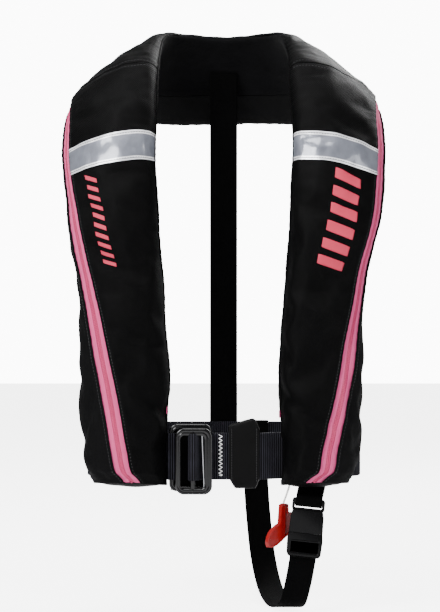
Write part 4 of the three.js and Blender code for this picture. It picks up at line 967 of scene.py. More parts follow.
# Hem gusset: the section drawn in towards its own middle, domed a little, two-sided.
def makeGusset(side, g):
    name = "left" if side > 0 else "right"
    share = np.arange(g["loops"]) / g["loops"]
    s = np.array([side * (hem - g["fromHem"])])
    cut = sectionsAt(s)
    rim = skin(s, share[None] * cut["total"], g["sink"])[0]
    centre = rim.mean(0)
    outwards = cut["along"][0] * side
    shape = 1 - np.linspace(0, 1, g["rings"])[:, None, None]
    dome = (1 - shape ** 2.2) * g["dome"]
    flat = centre + (rim - centre) * shape
    noise = softNoise(flat[..., 0], flat[..., 1], 0.03, 11)[..., None]
    outer = flat + outwards * (dome + g["wrinkle"] * noise * (1 - shape ** 4) - g["drop"])
    inner = outer - outwards * g["thickness"]
    rings = np.concatenate([inner[::-1][1:], outer])
    piece = makeRings(name + "_hem_cloth", rings, rings[..., :2])
    finishPiece(piece, blackNylon, stands=[name + "_hem_gusset"])


for side in (-1, 1):
    makeGusset(side, gussetCloth)


bladderCloth = dict(depth=5.6 * mm, end=hem - 0.4, rows=300, around=72, folds=7, foldDepth=0.9 * mm,
                    pocketBack=-94.4 * mm,           # pockets: low and high x, low and high z
                    pockets=((0.074, 0.119, -0.55, -0.215), (-0.119, -0.079, -0.357, -0.171)))


# Folded bladder: the band's loop at depth, wavy with its folds, pushed back behind both fittings.
def makeBladder(b):
    rows = np.linspace(-b["end"], b["end"], b["rows"])
    share = np.arange(b["around"]) / b["around"]
    cut = sectionsAt(rows)
    folds = b["foldDepth"] * np.sin(share * 2 * np.pi * b["folds"])[None] * np.ones((len(rows), 1))
    rings = skin(rows, share * cut["total"], b["depth"] + folds)
    for x0, x1, z0, z1 in b["pockets"]:
        x, z = rings[..., 0], rings[..., 2]
        within = 1 / ((1 + np.exp(-(x - x0) / 0.001)) * (1 + np.exp((x - x1) / 0.001))
                      * (1 + np.exp(-(z - z0) / 0.003)) * (1 + np.exp((z - z1) / 0.003)))
        facing = np.maximum(rings[..., 1], np.roll(rings[:, ::-1, 1], 1, axis=1))
        pushed = np.minimum(np.maximum(rings[..., 1], b["pocketBack"]), facing)
        rings[..., 1] += (pushed - rings[..., 1]) * np.clip(within * 1.15, 0, 1)
    uv = np.stack([np.broadcast_to(alongAt(rows)[:, None], rings.shape[:2]), share * cut["total"]], -1)
    piece = makeRings("folded_bladder", rings, uv)
    finishPiece(piece, filmYellow, stands=["gas_bladder"])


makeBladder(bladderCloth)
print("bladder made")


tapeTop = zipSizes["tapeTop"]
zipEnd = hem - 0.1


# Both tapes: strips beside the teeth that tuck under the cover's folded edges.
def makeZipTapes():
    outerHalf = halfWindow + zipSizes["tuck"]
    innerHalf = outerHalf - zipSizes["tapeWidth"]
    for name, start, end in (("front", -outerHalf, -innerHalf), ("rear", innerHalf, outerHalf)):
        rows = rowsBetween(-zipEnd, zipEnd, 2.6 * mm, 0.4 * mm)
        piece = panel("zip_tape_%s_cloth" % name, lambda cut, d=start: cut["zipAt"] + d,
                      lambda cut, d=end: cut["zipAt"] + d, rows, tapeTop, 0.8 * mm, 0.9 * mm)
        finishPiece(piece, zipTape, stands=["zip_tape_" + name])


# One coil tooth: a small round bar that rises from the tape, arches over and dips at the middle.
def toothRings(sides=6):
    across = np.array([2.1, 1.85, 1.2, 0.45, -0.15, -0.35]) * mm
    height = np.array([-1.0, 0.05, 0.42, 0.25, -0.35, -0.8]) * mm
    thick = np.array([0.34, 0.42, 0.45, 0.45, 0.40, 0.25]) * mm
    angle = np.linspace(0, 2 * np.pi, sides, endpoint=False)
    path = np.stack([across, height], -1)
    tangent = unit(np.gradient(path, axis=0))
    normal = np.stack([-tangent[:, 1], tangent[:, 0]], -1)
    along = np.cos(angle)[None] * thick[:, None]
    up = np.sin(angle)[None] * thick[:, None]
    return np.stack([along, path[:, :1] + up * normal[:, :1], path[:, 1:] + up * normal[:, 1:]], -1)


# Teeth of both halves in turn along the zip, each set in the frame of its place on the band.
def makeCoil(name, start, end):
    runs = np.arange(alongAt(start), alongAt(end), zipSizes["pitch"] / 2)
    rows = np.interp(runs + napeRun, rowRun, rowTable)
    cut = sectionsAt(rows)
    sets = [skin(rows, cut["zipAt"] + d, tapeTop + 0.6 * mm)[:, 0] for d in (-1 * mm, 0, 1 * mm)]
    place = sets[1]
    across = unit(sets[2] - sets[0])
    along = unit(np.gradient(place, axis=0))
    up = unit(np.cross(along, across))
    lower = skin(rows, cut["zipAt"], tapeTop + 1.6 * mm)[:, 0]
    up = up * np.sign(((place - lower) * up).sum(-1))[:, None]
    rings = toothRings()
    count, sides = rings.shape[:2]
    flip = np.where(np.arange(len(rows)) % 2 == 0, 1.0, -1.0)[:, None, None]
    local = rings.reshape(1, -1, 3)
    world = (place[:, None] + along[:, None] * local[..., :1]
             + across[:, None] * (local[..., 1:2] * flip) + up[:, None] * local[..., 2:])
    tips = np.stack([world[:, :sides].mean(1), world[:, -sides:].mean(1)], 1)
    points = np.concatenate([world, tips], 1)
    each = points.shape[1]
    quads, fans = ringFaces(count, sides)
    faces = []
    for group in (quads, fans):
        stacked = group[None] + (np.arange(len(rows)) * each)[:, None, None]
        faces.append(np.where(flip < 0, stacked[:, :, ::-1], stacked).reshape(-1, group.shape[1]))
    return makeObject(name, points.reshape(-1, 3), faces)


# The dark strip under the teeth that joins both tapes.
def makeZipCore():
    half = zipSizes["coreHalf"]
    rows = rowsBetween(-zipEnd, zipEnd, 4 * mm, 0.4 * mm)
    piece = panel("zip_core_cloth", lambda cut: cut["zipAt"] - half, lambda cut: cut["zipAt"] + half,
                  rows, tapeTop + 0.95 * mm, 0.3 * mm, 1.4 * mm)
    finishPiece(piece, coilNylon)


makeZipTapes()
makeZipCore()
coilStart = np.interp(napeRun + zipSizes["parkGap"] / 2, rowRun, rowTable)
for side, start, end in (("right", -zipEnd, -coilStart), ("left", coilStart, zipEnd)):
    coil = makeCoil(side + "_coil_teeth", start, end)
    finishPiece(coil, coilNylon, stands=[side + "_zip_coil"])
print("zip made")


# Stitches along a path: short six-sided bars with sunk ends, as one mesh. The thread follows
# the path and stands up along the given normals.
def stitchPoints(path, normals, length=2.7 * mm, pitch=3.5 * mm, radius=0.26 * mm):
    run = runLength(path)
    middles = np.arange(pitch, run[-1] - pitch, pitch)
    spots = middles[:, None] + np.linspace(-0.5, 0.5, 5) * length
    place = np.stack([np.interp(spots, run, column) for column in path.T], -1)
    up = unit(np.stack([np.interp(spots, run, column) for column in normals.T], -1))
    along = unit(place[:, -1:] - place[:, :1])
    side = unit(np.cross(np.broadcast_to(along, up.shape), up))
    sink = np.array([-0.9, 0.15, 0.45, 0.15, -0.9]) * radius
    thick = np.array([0.55, 1.0, 1.05, 1.0, 0.55]) * radius
    angle = np.linspace(0, 2 * np.pi, 6, endpoint=False)
    centre = place + up * sink[:, None]
    rings = centre[:, :, None] + thick[:, None, None] * (
        np.cos(angle)[:, None] * side[:, :, None] + np.sin(angle)[:, None] * up[:, :, None])
    flat = rings.reshape(len(middles), -1, 3)
    tips = np.stack([rings[:, 0].mean(1), rings[:, -1].mean(1)], 1)
    points = np.concatenate([flat, tips], 1)
    quads, fans = ringFaces(5, 6)
    shift = (np.arange(len(middles)) * points.shape[1])[:, None, None]
    faces = [(quads[None] + shift).reshape(-1, 4), (fans[None] + shift).reshape(-1, 3)]
    return points.reshape(-1, 3), faces


# Joins several rows of stitches into one piece.
def makeStitches(name, lines, material, slotName, body="jacket", **sizes):
    points, quads, fans, offset = [], [], [], 0
    for path, normals in lines:
        new, faces = stitchPoints(path, normals, **sizes)
        points.append(new)
        quads.append(faces[0] + offset)
        fans.append(faces[1] + offset)
        offset += len(new)
    piece = makeObject(name, np.vstack(points), [np.vstack(quads), np.vstack(fans)])
    return finishPiece(piece, material, body)


# A line on the cloth's face at an arc length that depends on the row, with its normals.
def clothLine(rows, lengthAt, depth):
    cut = sectionsAt(rows)
    lengths = lengthAt(cut)
    path = skin(rows, lengths, depth)[:, 0]
    below = skin(rows, lengths, depth + 1 * mm)[:, 0]
    return path, unit(path - below)


# Topstitching beside the zip and across the panels on both sides of each shoulder seam.
def makeCoverStitching():
    sink = coverCloth["stitchSink"] - coverCloth["foldRise"]
    offset = coverCloth["stitchFrom"]
    lines = []
    for side, (start, end) in panelSpans.items():
        rows = rowsBetween(start, end, 2.5 * mm)
        lines.append(clothLine(rows, lambda cut: frontEnd(cut) - offset, sink))
        lines.append(clothLine(rows, lambda cut: rearStart(cut) + offset, sink))
        for tip, inward in ((start, 1), (end, -1)):
            if abs(tip) > hem - 0.1:
                continue
            row = np.interp(np.interp(tip, rowTable, rowRun) + inward * offset, rowRun, rowTable)
            cut = sectionsAt([row])
            for first, last in ((frontStart, frontEnd), (rearStart, rearEnd)):
                lengths = np.linspace(first(cut)[0, 0] + 0.004, last(cut)[0, 0] - 0.005, 90)[None]
                path = skin([row], lengths, sink)[0]
                lines.append((path, unit(path - skin([row], lengths, sink + 1 * mm)[0])))
    makeStitches("cover_topstitching", lines, blackThread, "cover_cloth")


makeCoverStitching()
print("cover stitching made")


reflector = dict(width=25 * mm, thickness=0.45 * mm, drop=93 * mm, slope=13 * mm, lift=0.12 * mm,
                 innerShare=0.012, stitchFrom=2.0 * mm)
lobeTable = rowTable >= shoulderSeam
lobeRows = rowTable[lobeTable]
lobeHeights = tableCut["middle"][lobeTable][:, 2]


# The left lobe's row whose middle is at height z.
def rowAtHeight(z):
    return np.interp(-z, -lobeHeights, lobeRows)


# Skin points where each point has its own row and its own share of the front cloth's width.
def frontPoints(s, share, depth):
    shape = s.shape
    cut = sectionsAt(s.ravel())
    end = frontEnd(cut)
    lengths = gap + share.reshape(-1, 1) * (end - gap)
    depth = np.broadcast_to(depth, shape).reshape(-1, 1)
    return skin(s.ravel(), lengths, depth)[:, 0].reshape(*shape, 3)


# Height of the tape's middle line at a share of the front's width, on the lobe of one side.
def tapeRow(side, share, off):
    z = -(reflector["drop"] + reflector["slope"] * (share - 0.5)) - off
    return side * rowAtHeight(z)


# Tape across a lobe's front: rounded edges, a pressed line under each stitch row, and a few
# buckles that fade from the inner edge. The stitch lines are returned.
def makeReflector(side):
    r = reflector
    name = "left" if side > 0 else "right"
    offs = np.concatenate([[0, 0.04, 0.15], np.linspace(0.3, r["width"] / mm - 0.3, 22),
                           r["width"] / mm - np.array([0.15, 0.04, 0])]) * mm - r["width"] / 2
    shares = np.linspace(r["innerShare"], 0.997, 64)
    off, share = np.meshgrid(offs, shares, indexing="ij")
    s = tapeRow(side, share, off)
    edge = np.minimum(off + r["width"] / 2, r["width"] / 2 - off)
    half = r["thickness"] / 2
    full = roundOff(edge, half)
    full[:, [0, -1]] = 0
    sink = 0.14 * mm * np.exp(-((edge - r["stitchFrom"]) / 0.0008) ** 2)
    buckle = 0.35 * mm * np.sin(share * 46 + off * 160) * np.exp(-((share - 0.10) / 0.12) ** 2)
    buckle = buckle + 0.22 * mm * softNoise(share * 0.1, off, 0.022, 21)
    buckle = buckle * np.clip(edge / 0.005, 0, 1)
    centre = -r["lift"] - half - buckle.clip(-0.05 * mm) + sink * 0.6
    outer = frontPoints(s, share, centre - half * full)
    inner = frontPoints(s, share, centre + half * full)
    breadth = float(sectionsAt([side * 6.0])["zipAt"][0, 0])
    uv = np.stack([share * breadth, off], -1)
    points, faces, coords = sheetPoints(outer, inner, uv)
    piece = makeObject(name + "_silver_band", points, faces, coords)
    finishPiece(piece, silverCloth, stands=[name + "_reflective_tape"])
    lines = []
    for fromMiddle in (-1, 1):
        share = np.linspace(0.02, 0.985, 160)[None]
        off = np.full_like(share, fromMiddle * (r["width"] / 2 - r["stitchFrom"]))
        s = tapeRow(side, share, off)
        path = frontPoints(s, share, -r["lift"] - r["thickness"] + 0.06 * mm)[0]
        lines.append((path, unit(path - frontPoints(s, share, 1 * mm)[0])))
    return lines


makeStitches("tape_stitching", makeReflector(-1) + makeReflector(1), whiteThread, "reflective_tape",
             length=2.3 * mm, pitch=2.9 * mm, radius=0.24 * mm)
print("reflective tape made")


prints = {                           # heights of the first and last bar, and lean in degrees
    "right_print": dict(side=-1, low=-0.199, high=-0.119, bars=10, length=0.0135, thick=0.0042,
                        lean=18, fromZip=0.019),
    "left_print": dict(side=1, low=-0.198, high=-0.119, bars=6, length=0.031, thick=0.0098,
                       lean=-16, fromZip=0.021),
}


# A column of slanted bars beside the zip, each a thin raised patch of ink with rounded ends.
def makePrint(name, p):
    heights = np.linspace(p["high"], p["low"], p["bars"])
    x, y = np.meshgrid(np.linspace(-1, 1, 30), np.linspace(-1, 1, 12), indexing="ij")
    slant = math.tan(math.radians(p["lean"]))
    points, faces, coords, offset = [], [[], []], [], 0
    for z in heights:
        s0 = float(rowAtHeight(np.array([z]))[0]) * p["side"]
        width = float(frontEnd(sectionsAt([s0]))[0, 0])
        corner = (1 - 0.10 * np.abs(x) ** 8) * y
        across = x * p["length"] / 2
        up = corner * p["thick"] / 2 + across * slant
        share = (width - p["fromZip"] - p["length"] / 2 + across) / width
        s = rowAtHeight(z + up) * p["side"]
        border = np.minimum(1 - np.abs(x), 1 - np.abs(y)) > 0.02
        lift = np.where(border, 0.11 * mm, 0.03 * mm)
        outer = frontPoints(s, share, -lift)
        inner = frontPoints(s, share, np.where(border, 0.05 * mm, -0.03 * mm))
        new, groups, uv = sheetPoints(outer, inner, np.stack([across, up], -1))
        points.append(new)
        coords.append(uv)
        for k in (0, 1):
            faces[k].append(groups[k] + offset)
        offset += len(new)
    piece = makeObject(name, np.vstack(points), [np.vstack(f) for f in faces], np.vstack(coords))
    finishPiece(piece, pinkInk)


for printName, sizes in prints.items():
    makePrint(printName, sizes)
print("prints made")


# Webbing: a flat oval with beaded selvedges carried along a path. The last three columns of the
# path are the direction of the width; ribs swell the faces as a cosine of the run.
def webbing(name, path, width, thickness, rib=None, ribDepth=0.0):
    place, across = path[:, :3], unit(path[:, 3:6])
    along = unit(np.gradient(place, axis=0))
    across = unit(across - along * (along * across).sum(-1, keepdims=True))
    up = np.cross(along, across)
    v = np.concatenate([[-1, -0.985, -0.955], np.linspace(-0.92, 0.92, 11), [0.955, 0.985, 1]])
    flat = (1 - np.abs(v) ** 30) ** 0.5 * (1 + 0.14 * np.exp(-((np.abs(v) - 0.955) / 0.03) ** 2))
    run = runLength(place)[:, None]
    ribs = ribDepth * np.cos(2 * np.pi * run / rib) if rib else 0 * run
    top = thickness / 2 * flat * (1 + ribs * (np.abs(v) < 0.97))
    offsets = np.concatenate([v, v[::-1][1:-1]])
    heights = np.hstack([top, -top[:, ::-1][:, 1:-1]])
    rings = place[:, None] + across[:, None] * (offsets * width / 2)[:, None] \
        + up[:, None] * heights[..., None]
    uv = np.stack([np.broadcast_to(run, heights.shape),
                   np.broadcast_to(offsets * width / 2, heights.shape)], -1)
    return makeRings(name, rings, uv)


# A path in two axes with a fixed width direction, its corners rounded.
def flatPath(points, order, across, radius=3 * mm, step=1.2 * mm):
    points = np.asarray(points, float)
    spread = np.zeros((len(points), 6))
    for column, axis in enumerate(order):
        spread[:, "xyz".index(axis)] = points[:, column]
    spread[:, 3:] = across
    return roundedPath(spread, radius, step)


beltSizes = dict(width=50 * mm, thickness=1.8 * mm, low=-430 * mm, halfWidth=149 * mm, backY=99.9 * mm,
                 frontY=-100 * mm, behindLobe=6 * mm, rib=2.4 * mm, ribDepth=0.24, barX=-33 * mm,
                 bend=2.2 * mm, wideBend=40 * mm)
beltMiddle = beltSizes["low"] + beltSizes["width"] / 2
beltRow = rowAtHeight(np.array([beltMiddle])) + hem
beltInner, beltOuter = smoothCurve(innerPoints, beltRow)[0], smoothCurve(outerPoints, beltRow)[0]
innerBend = np.array([beltInner[0] + 3 * mm, beltInner[1] + beltSizes["behindLobe"]])
outerBend = np.array([beltOuter[0] - 5 * mm, beltOuter[1] + beltSizes["behindLobe"]])
beltRun = unit(outerBend - innerBend)


# The belt's y behind the left lobe: the straight line between its two bends.
def beltYAt(x):
    return innerBend[1] + (x - innerBend[0]) * beltRun[1] / beltRun[0]


# The belt in one run: its spare end, round the male frame's bar, behind the left lobe, round the
# back, behind the right lobe, and round the female frame's side.
def makeBelt(b):
    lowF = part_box("female_waist_frame")[0]
    lowM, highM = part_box("male_waist_frame")
    barY = (lowM.y + highM.y) / 2
    layer = b["thickness"] + 0.3 * mm
    wrapRadius = 2.8 * mm + 0.4 * mm + b["thickness"] / 2
    angles = np.radians(np.linspace(147, 327, 15))
    wrap = [(b["barX"] + wrapRadius * math.cos(a), barY + wrapRadius * math.sin(a)) for a in angles]
    wide = b["halfWidth"]
    side = np.array([(wide - 1 * mm, outerBend[1] + 14 * mm), (wide, -30 * mm), (wide - 1 * mm, 12 * mm),
                     (wide - 12 * mm, 52 * mm), (wide - 41 * mm, 84 * mm),
                     (wide - 79 * mm, b["backY"] - 2 * mm), (wide - 91 * mm, b["backY"])])
    mirror = np.array([-1.0, 1.0])
    barWrap = 0.3 * mm + b["thickness"] / 2
    inside = lowF.x + 5 * mm
    line = [(3 * mm, b["frontY"] + layer), (b["barX"] + 5.5 * mm, b["frontY"] + layer), *wrap,
            (b["barX"] + 12.8 * mm, b["frontY"]), (innerBend[0] - 22 * mm, b["frontY"]), innerBend,
            outerBend, *side, *(side * mirror)[::-1], outerBend * mirror, innerBend * mirror,
            (lowF.x + 0.8 * mm, b["frontY"]), (inside + barWrap, b["frontY"]),
            (inside + barWrap, lowF.y - barWrap), (lowF.x - barWrap, lowF.y - barWrap),
            (lowF.x - barWrap, b["frontY"] - b["thickness"] - 0.4 * mm)]
    spread = np.zeros((len(line), 6))
    spread[:, :2] = np.array(line)
    spread[:, 2] = beltMiddle
    spread[:, 5] = 1
    soft = (np.abs(spread[:, 0]) > 60 * mm) | (spread[:, 1] > 80 * mm)
    path = roundedPath(spread, np.where(soft, b["wideBend"], b["bend"]), b["rib"] / 4)
    piece = webbing("waist_webbing", path, b["width"], b["thickness"], b["rib"], b["ribDepth"])
    finishPiece(piece, beltWebbing, stands=["waist_belt"])


makeBelt(beltSizes)

clip = dict(x=88 * mm, y=-90 * mm, z=-482 * mm, tilt=6.0, ringHigh=31 * mm, ringThick=5 * mm,
            slotMiddle=22.5 * mm, footThick=6 * mm, barThick=4 * mm, low=-32 * mm)
strap = dict(width=28.5 * mm, thickness=1.3 * mm)


# A place in the side-release buckle's own upright frame, turned by its tilt into the world.
def clipPlace(x, y, z):
    turn = math.radians(clip["tilt"])
    return np.array([clip["x"] + x * math.cos(turn) + z * math.sin(turn), clip["y"] + y,
                     clip["z"] - x * math.sin(turn) + z * math.cos(turn)])


clipAcross = clipPlace(1, 0, 0) - clipPlace(0, 0, 0)


# Places and width directions side by side, with rounded corners.
def strapPath(points, across, radius=2.2 * mm, step=0.9 * mm):
    return roundedPath(np.hstack([np.array(points), np.array(across)]), radius, step)


# Three runs of strap: the belt to the buckle, the buckle to under the body, and on to the belt
# behind. Straight legs through the buckle's slots join one smooth curve, cut in two below.
def makeCrotchStraps():
    half = strap["thickness"] / 2
    off = beltSizes["thickness"] / 2 + 0.3 * mm + half
    upperX = clip["x"] + 8 * mm
    behind = np.array([-beltRun[1], beltRun[0], 0])
    onBelt = np.array([upperX, beltYAt(upperX), 0])
    high = beltSizes["low"] + beltSizes["width"] + 0.3 * mm + half
    low = beltSizes["low"]
    barLeg = clip["ringThick"] / 2 + 0.3 * mm + half
    upZ = np.array([0, 0, 1.0])
    upper = [onBelt + behind * off + upZ * (low - 8 * mm), onBelt + behind * off + upZ * high,
             onBelt - behind * off + upZ * high, onBelt - behind * off + upZ * (low - 2 * mm),
             clipPlace(0, -barLeg, clip["ringHigh"] + 3 * mm), clipPlace(0, -barLeg, clip["slotMiddle"]),
             clipPlace(0, barLeg, clip["slotMiddle"]), clipPlace(0, barLeg, clip["ringHigh"] - 1 * mm)]
    across = [(beltRun[0], beltRun[1], 0)] * 4 + [tuple(clipAcross)] * 4
    piece = webbing("upper_crotch_webbing", strapPath(upper, across), strap["width"], strap["thickness"])
    finishPiece(piece, strapWebbing, stands=["crotch_strap_upper"])

    mainLeg = clip["footThick"] / 2 + 0.3 * mm + half
    tailLeg = mainLeg + strap["thickness"] + 0.3 * mm
    frontLeg = clip["barThick"] / 2 + 0.3 * mm + half
    threaded = [clipPlace(0, y * mm if abs(y) > 1 else y, z * mm) for y, z in (
        (tailLeg, -37), (tailLeg, -15.5), (-frontLeg, -15.5), (-frontLeg, -24.5), (mainLeg, -24.5),
        (mainLeg, -35))]
    route = np.array([(80, -80, -542), (74.5, -66, -566), (68, -45, -574), (60, -15, -574),
                      (52, 25, -562), (45, 62, -532), (40, 90, -484)]) * mm
    beltBack = beltSizes["backY"] + off
    route = np.vstack([threaded[-1], route, [38 * mm, beltBack, low - 22 * mm]])
    cutAt = 3.0                      # place of the cut, counted in points of the route
    fine = smoothCurve(route, np.linspace(0, cutAt, 60))
    frontLine = np.vstack([threaded[:-1], fine])
    share = np.concatenate([np.zeros(5), np.linspace(0, 1, 60)])[:, None]
    frontAcross = unit(clipAcross * (1 - share) + np.array([1.0, 0, 0]) * share)
    piece = webbing("lower_crotch_webbing", strapPath(frontLine, frontAcross), strap["width"],
                    strap["thickness"])
    finishPiece(piece, strapWebbing, "crotch_buckle_male_half", ["crotch_strap_front"])
    fine = smoothCurve(route, np.linspace(cutAt + 0.012, len(route) - 1, 80))
    inside = beltSizes["backY"] - off
    backLine = np.vstack([fine, [38 * mm, beltBack, high], [38 * mm, inside, high],
                          [38 * mm, inside, low + 6 * mm]])
    backAcross = np.tile([1.0, 0, 0], (len(backLine), 1))
    piece = webbing("rear_crotch_webbing", strapPath(backLine, backAcross), strap["width"],
                    strap["thickness"])
    finishPiece(piece, strapWebbing, stands=["crotch_strap_back"])


makeCrotchStraps()
print("belt and crotch straps made")


backStrap = dict(width=32 * mm, thickness=1.8 * mm, lean=6 * mm, leanLength=34 * mm)
hanger = dict(width=8 * mm, thickness=1.2 * mm, half=13 * mm)
loopSizes = dict(width=20 * mm, thickness=1.2 * mm, x=122 * mm)


# Strap from the collar down behind, folded round the belt and stitched to itself.
def makeBackStrap(b):
    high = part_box("back_strap")[1]
    belt = beltSizes
    beltHigh = belt["low"] + belt["width"]
    off = belt["thickness"] / 2 + 0.3 * mm + b["thickness"] / 2
    inside, outside = belt["backY"] - off, belt["backY"] + off
    under = belt["low"] - 1.6 * mm
    line = [(inside, beltHigh - 14 * mm), (inside, under), (outside, under),
            (outside, high.z - b["leanLength"]), (outside - b["lean"], high.z)]
    path = flatPath(line, "yz", (1, 0, 0), 1.5 * mm, 0.5 * mm)
    piece = webbing("back_webbing", path, b["width"], b["thickness"], 1.4 * mm, 0.06)
    finishPiece(piece, strapWebbing, stands=["back_strap"])
    rows = np.linspace(-1, 1, 12)[:, None]
    z = beltHigh + 5 * mm + np.array([0, 7]) * mm
    lines = []
    for height in z:
        path = np.hstack([rows * b["width"] * 0.42, rows * 0 + outside + b["thickness"] * 0.52,
                          rows * 0 + height])
        lines.append((path, np.tile([0, 1.0, 0], (len(path), 1))))
    makeStitches("back_strap_stitching", lines, blackThread, "webbing")


# A small upright U of narrow webbing at the nape.
def makeHangingLoop(h):
    low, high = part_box("hanging_loop")
    y = (low.y + high.y) / 2
    half = h["half"]
    bottom = low.z + h["thickness"] / 2
    line = [(-half, high.z), (-half, bottom + 5 * mm), (-half + 4 * mm, bottom), (half - 4 * mm, bottom),
            (half, bottom + 5 * mm), (half, high.z)]
    path = flatPath(line, "xz", (0, 1, 0), 3 * mm, 0.6 * mm)
    path[:, 1] = y
    piece = webbing("hanging_webbing", path, h["width"], h["thickness"])
    finishPiece(piece, satinWebbing, stands=["hanging_loop"])


# A belt loop: the node's own outline in y and z, carried across its width on the belt's slope.
def makeBeltLoop(side):
    name = ("left" if side > 0 else "right") + "_belt_loop"
    low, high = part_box(name)
    belt = beltSizes
    z0, z1 = belt["low"] - 2.2 * mm, belt["low"] + belt["width"] + 2.2 * mm
    x = loopSizes["x"]
    slope = beltRun[1] / beltRun[0]
    normal = np.array([-beltRun[1] * side, beltRun[0]])
    behind = belt["thickness"] / 2 + 1.1 * mm
    base = np.array([side * x, beltYAt(x)])
    lowestY = low.y + abs(slope) * loopSizes["width"] / 2 - base[1] + 0.6 * mm
    line = [(lowestY, z1 + 6 * mm), (lowestY, z1), (behind, z1), (behind, z0), (lowestY, z0),
            (lowestY, z0 + 6 * mm)]
    points = np.zeros((len(line), 6))
    for k, (off, z) in enumerate(line):
        points[k, :2] = base + normal * off
        points[k, 2] = z
    points[:, 3], points[:, 4] = beltRun[0], beltRun[1] * side
    path = roundedPath(points, 1.6 * mm, 0.6 * mm)
    piece = webbing(name + "_webbing", path, loopSizes["width"], loopSizes["thickness"])
    finishPiece(piece, strapWebbing, stands=[name])


makeBackStrap(backStrap)
makeHangingLoop(hanger)
makeBeltLoop(-1)
makeBeltLoop(1)
print("straps and loops made")


waistFrames = {
    "female_waist_frame": dict(left=5.4 * mm, right=5 * mm, top=6 * mm, bottom=5 * mm, corner=8 * mm,
                               inner=4 * mm, body="jacket"),
    "male_waist_frame": dict(left=5.4 * mm, right=8.2 * mm, top=7.6 * mm, bottom=6.0 * mm, corner=9 * mm,
                             inner=4.5 * mm, body="male_waist_frame"),
}
# Profile of a frame's bar: share of its width, then depth in millimetres from its front or back face.
frontProfile = [(0.0, 1.15), (0.04, 0.70), (0.11, 0.32), (0.20, 0.08), (0.31, 0.0), (0.42, 0.03),
                (0.47, 0.24), (0.53, 0.30), (0.58, 0.24), (0.62, 0.03), (0.72, 0.0), (0.86, 0.16),
                (0.95, 0.50), (1.0, 1.05)]
backProfile = [(1.0, -0.55), (0.96, -0.15), (0.88, 0), (0.12, 0), (0.04, -0.15), (0.0, -0.55)]


# A rounded rectangle: equally many points on each corner's quarter circle.
def roundedOutline(x0, x1, z0, z1, corner, perCorner=14):
    centres = [(x1 - corner, z1 - corner), (x0 + corner, z1 - corner), (x0 + corner, z0 + corner),
               (x1 - corner, z0 + corner)]
    angle = np.linspace(0, np.pi / 2, perCorner)
    place = []
    for k, centre in enumerate(centres):
        turn = angle + k * np.pi / 2
        way = np.stack([np.cos(turn), np.sin(turn)], -1)
        place.append(np.array(centre) + corner * way)
    return np.vstack(place)


# A cast frame: the profile carried from the outer outline to the hole's, point by point.
def makeWaistFrame(name, w):
    low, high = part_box(name)
    place = roundedOutline(low.x, high.x, low.z, high.z, w["corner"])
    hole = roundedOutline(low.x + w["left"], high.x - w["right"], low.z + w["bottom"], high.z - w["top"],
                          w["inner"])
    profile = np.array(frontProfile + backProfile)
    face = np.repeat([low.y, high.y], [len(frontProfile), len(backProfile)])
    spot = place[:, None] + (hole - place)[:, None] * profile[:, :1]
    depth = np.broadcast_to(face + profile[:, 1] * mm, spot.shape[:2])
    points = np.stack([spot[..., 0], depth, spot[..., 1]], -1)
    rows, count = points.shape[:2]
    faces = gridFaces(rows + 1, count, wrap=True) % (rows * count)
    piece = makeObject(name + "_cast", points.reshape(-1, 3), [faces])
    finishPiece(piece, darkMetal, w["body"], [name])


for frameName, sizes in waistFrames.items():
    makeWaistFrame(frameName, sizes)


frameBars = dict(barRadius=2.75 * mm, barInset=2 * mm, railRadius=0.6 * mm, railDepth=1.6 * mm,
                 railFoot=(0.3 * mm, 4.5 * mm), railHead=(2.6 * mm, 6.5 * mm))


# The bar that carries the belt, and a bright steel rail inside the frame's right side, which leans a
# little and is let into the frame at both ends. The rail is a painted highlight along the frame's inner
# edge.
def makeFrameBars(f):
    low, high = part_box("male_waist_frame")
    y = (low.y + high.y) / 2
    bar = np.array([[beltSizes["barX"], y, low.z + f["barInset"]],
                    [beltSizes["barX"], y, high.z - f["barInset"]]])
    piece = tube("male_waist_bar", resample(bar, 4 * mm), f["barRadius"], 20)
    finishPiece(piece, darkMetal, "male_waist_frame")
    # The rail is a bright steel strip that stands for the highlight on the frame's inner right edge: a
    # painted highlight.
    x, y = high.x - waistFrames["male_waist_frame"]["right"], low.y + f["railDepth"]
    rail = np.array([[x - f["railFoot"][0], y, low.z + f["railFoot"][1]],
                     [x - f["railHead"][0], y, high.z - f["railHead"][1]]])
    piece = tube("male_frame_highlight_rail", resample(rail, 3 * mm), f["railRadius"], 12)
    finishPiece(piece, plainSteel, "male_waist_frame")


makeFrameBars(frameBars)

backing = dict(left=-57 * mm, right=-16.5 * mm, forward=3.4 * mm, middle=-407.5 * mm, height=68 * mm,
               thickness=1.2 * mm)


# Cloth flap behind the two frames, sewn to the belt.
def makeBacking(b):
    spread = np.zeros((2, 6))
    spread[:, 0] = b["left"], b["right"]
    spread[:, 1:3] = beltSizes["frontY"] + b["forward"], b["middle"]
    spread[:, 5] = 1
    piece = webbing("buckle_backing", resample(spread, 2 * mm), b["height"], b["thickness"])
    finishPiece(piece, strapWebbing)


makeBacking(backing)

# Curves of the keeper's top and bottom: share of its width, then height in millimetres.
keeperSizes = dict(left=4.9 * mm, right=38 * mm, thickness=1.2 * mm, bow=0.35 * mm,
                   stitchShares=(0.10, 0.90),
                   top=[(0.0, -373.5), (0.08, -371.0), (0.68, -365.2), (0.8, -364.6), (0.88, -366.4),
                        (1.0, -377.0)],
                   bottom=[(0.0, -428), (0.2, -439.4), (0.88, -439.4), (1.0, -428)])


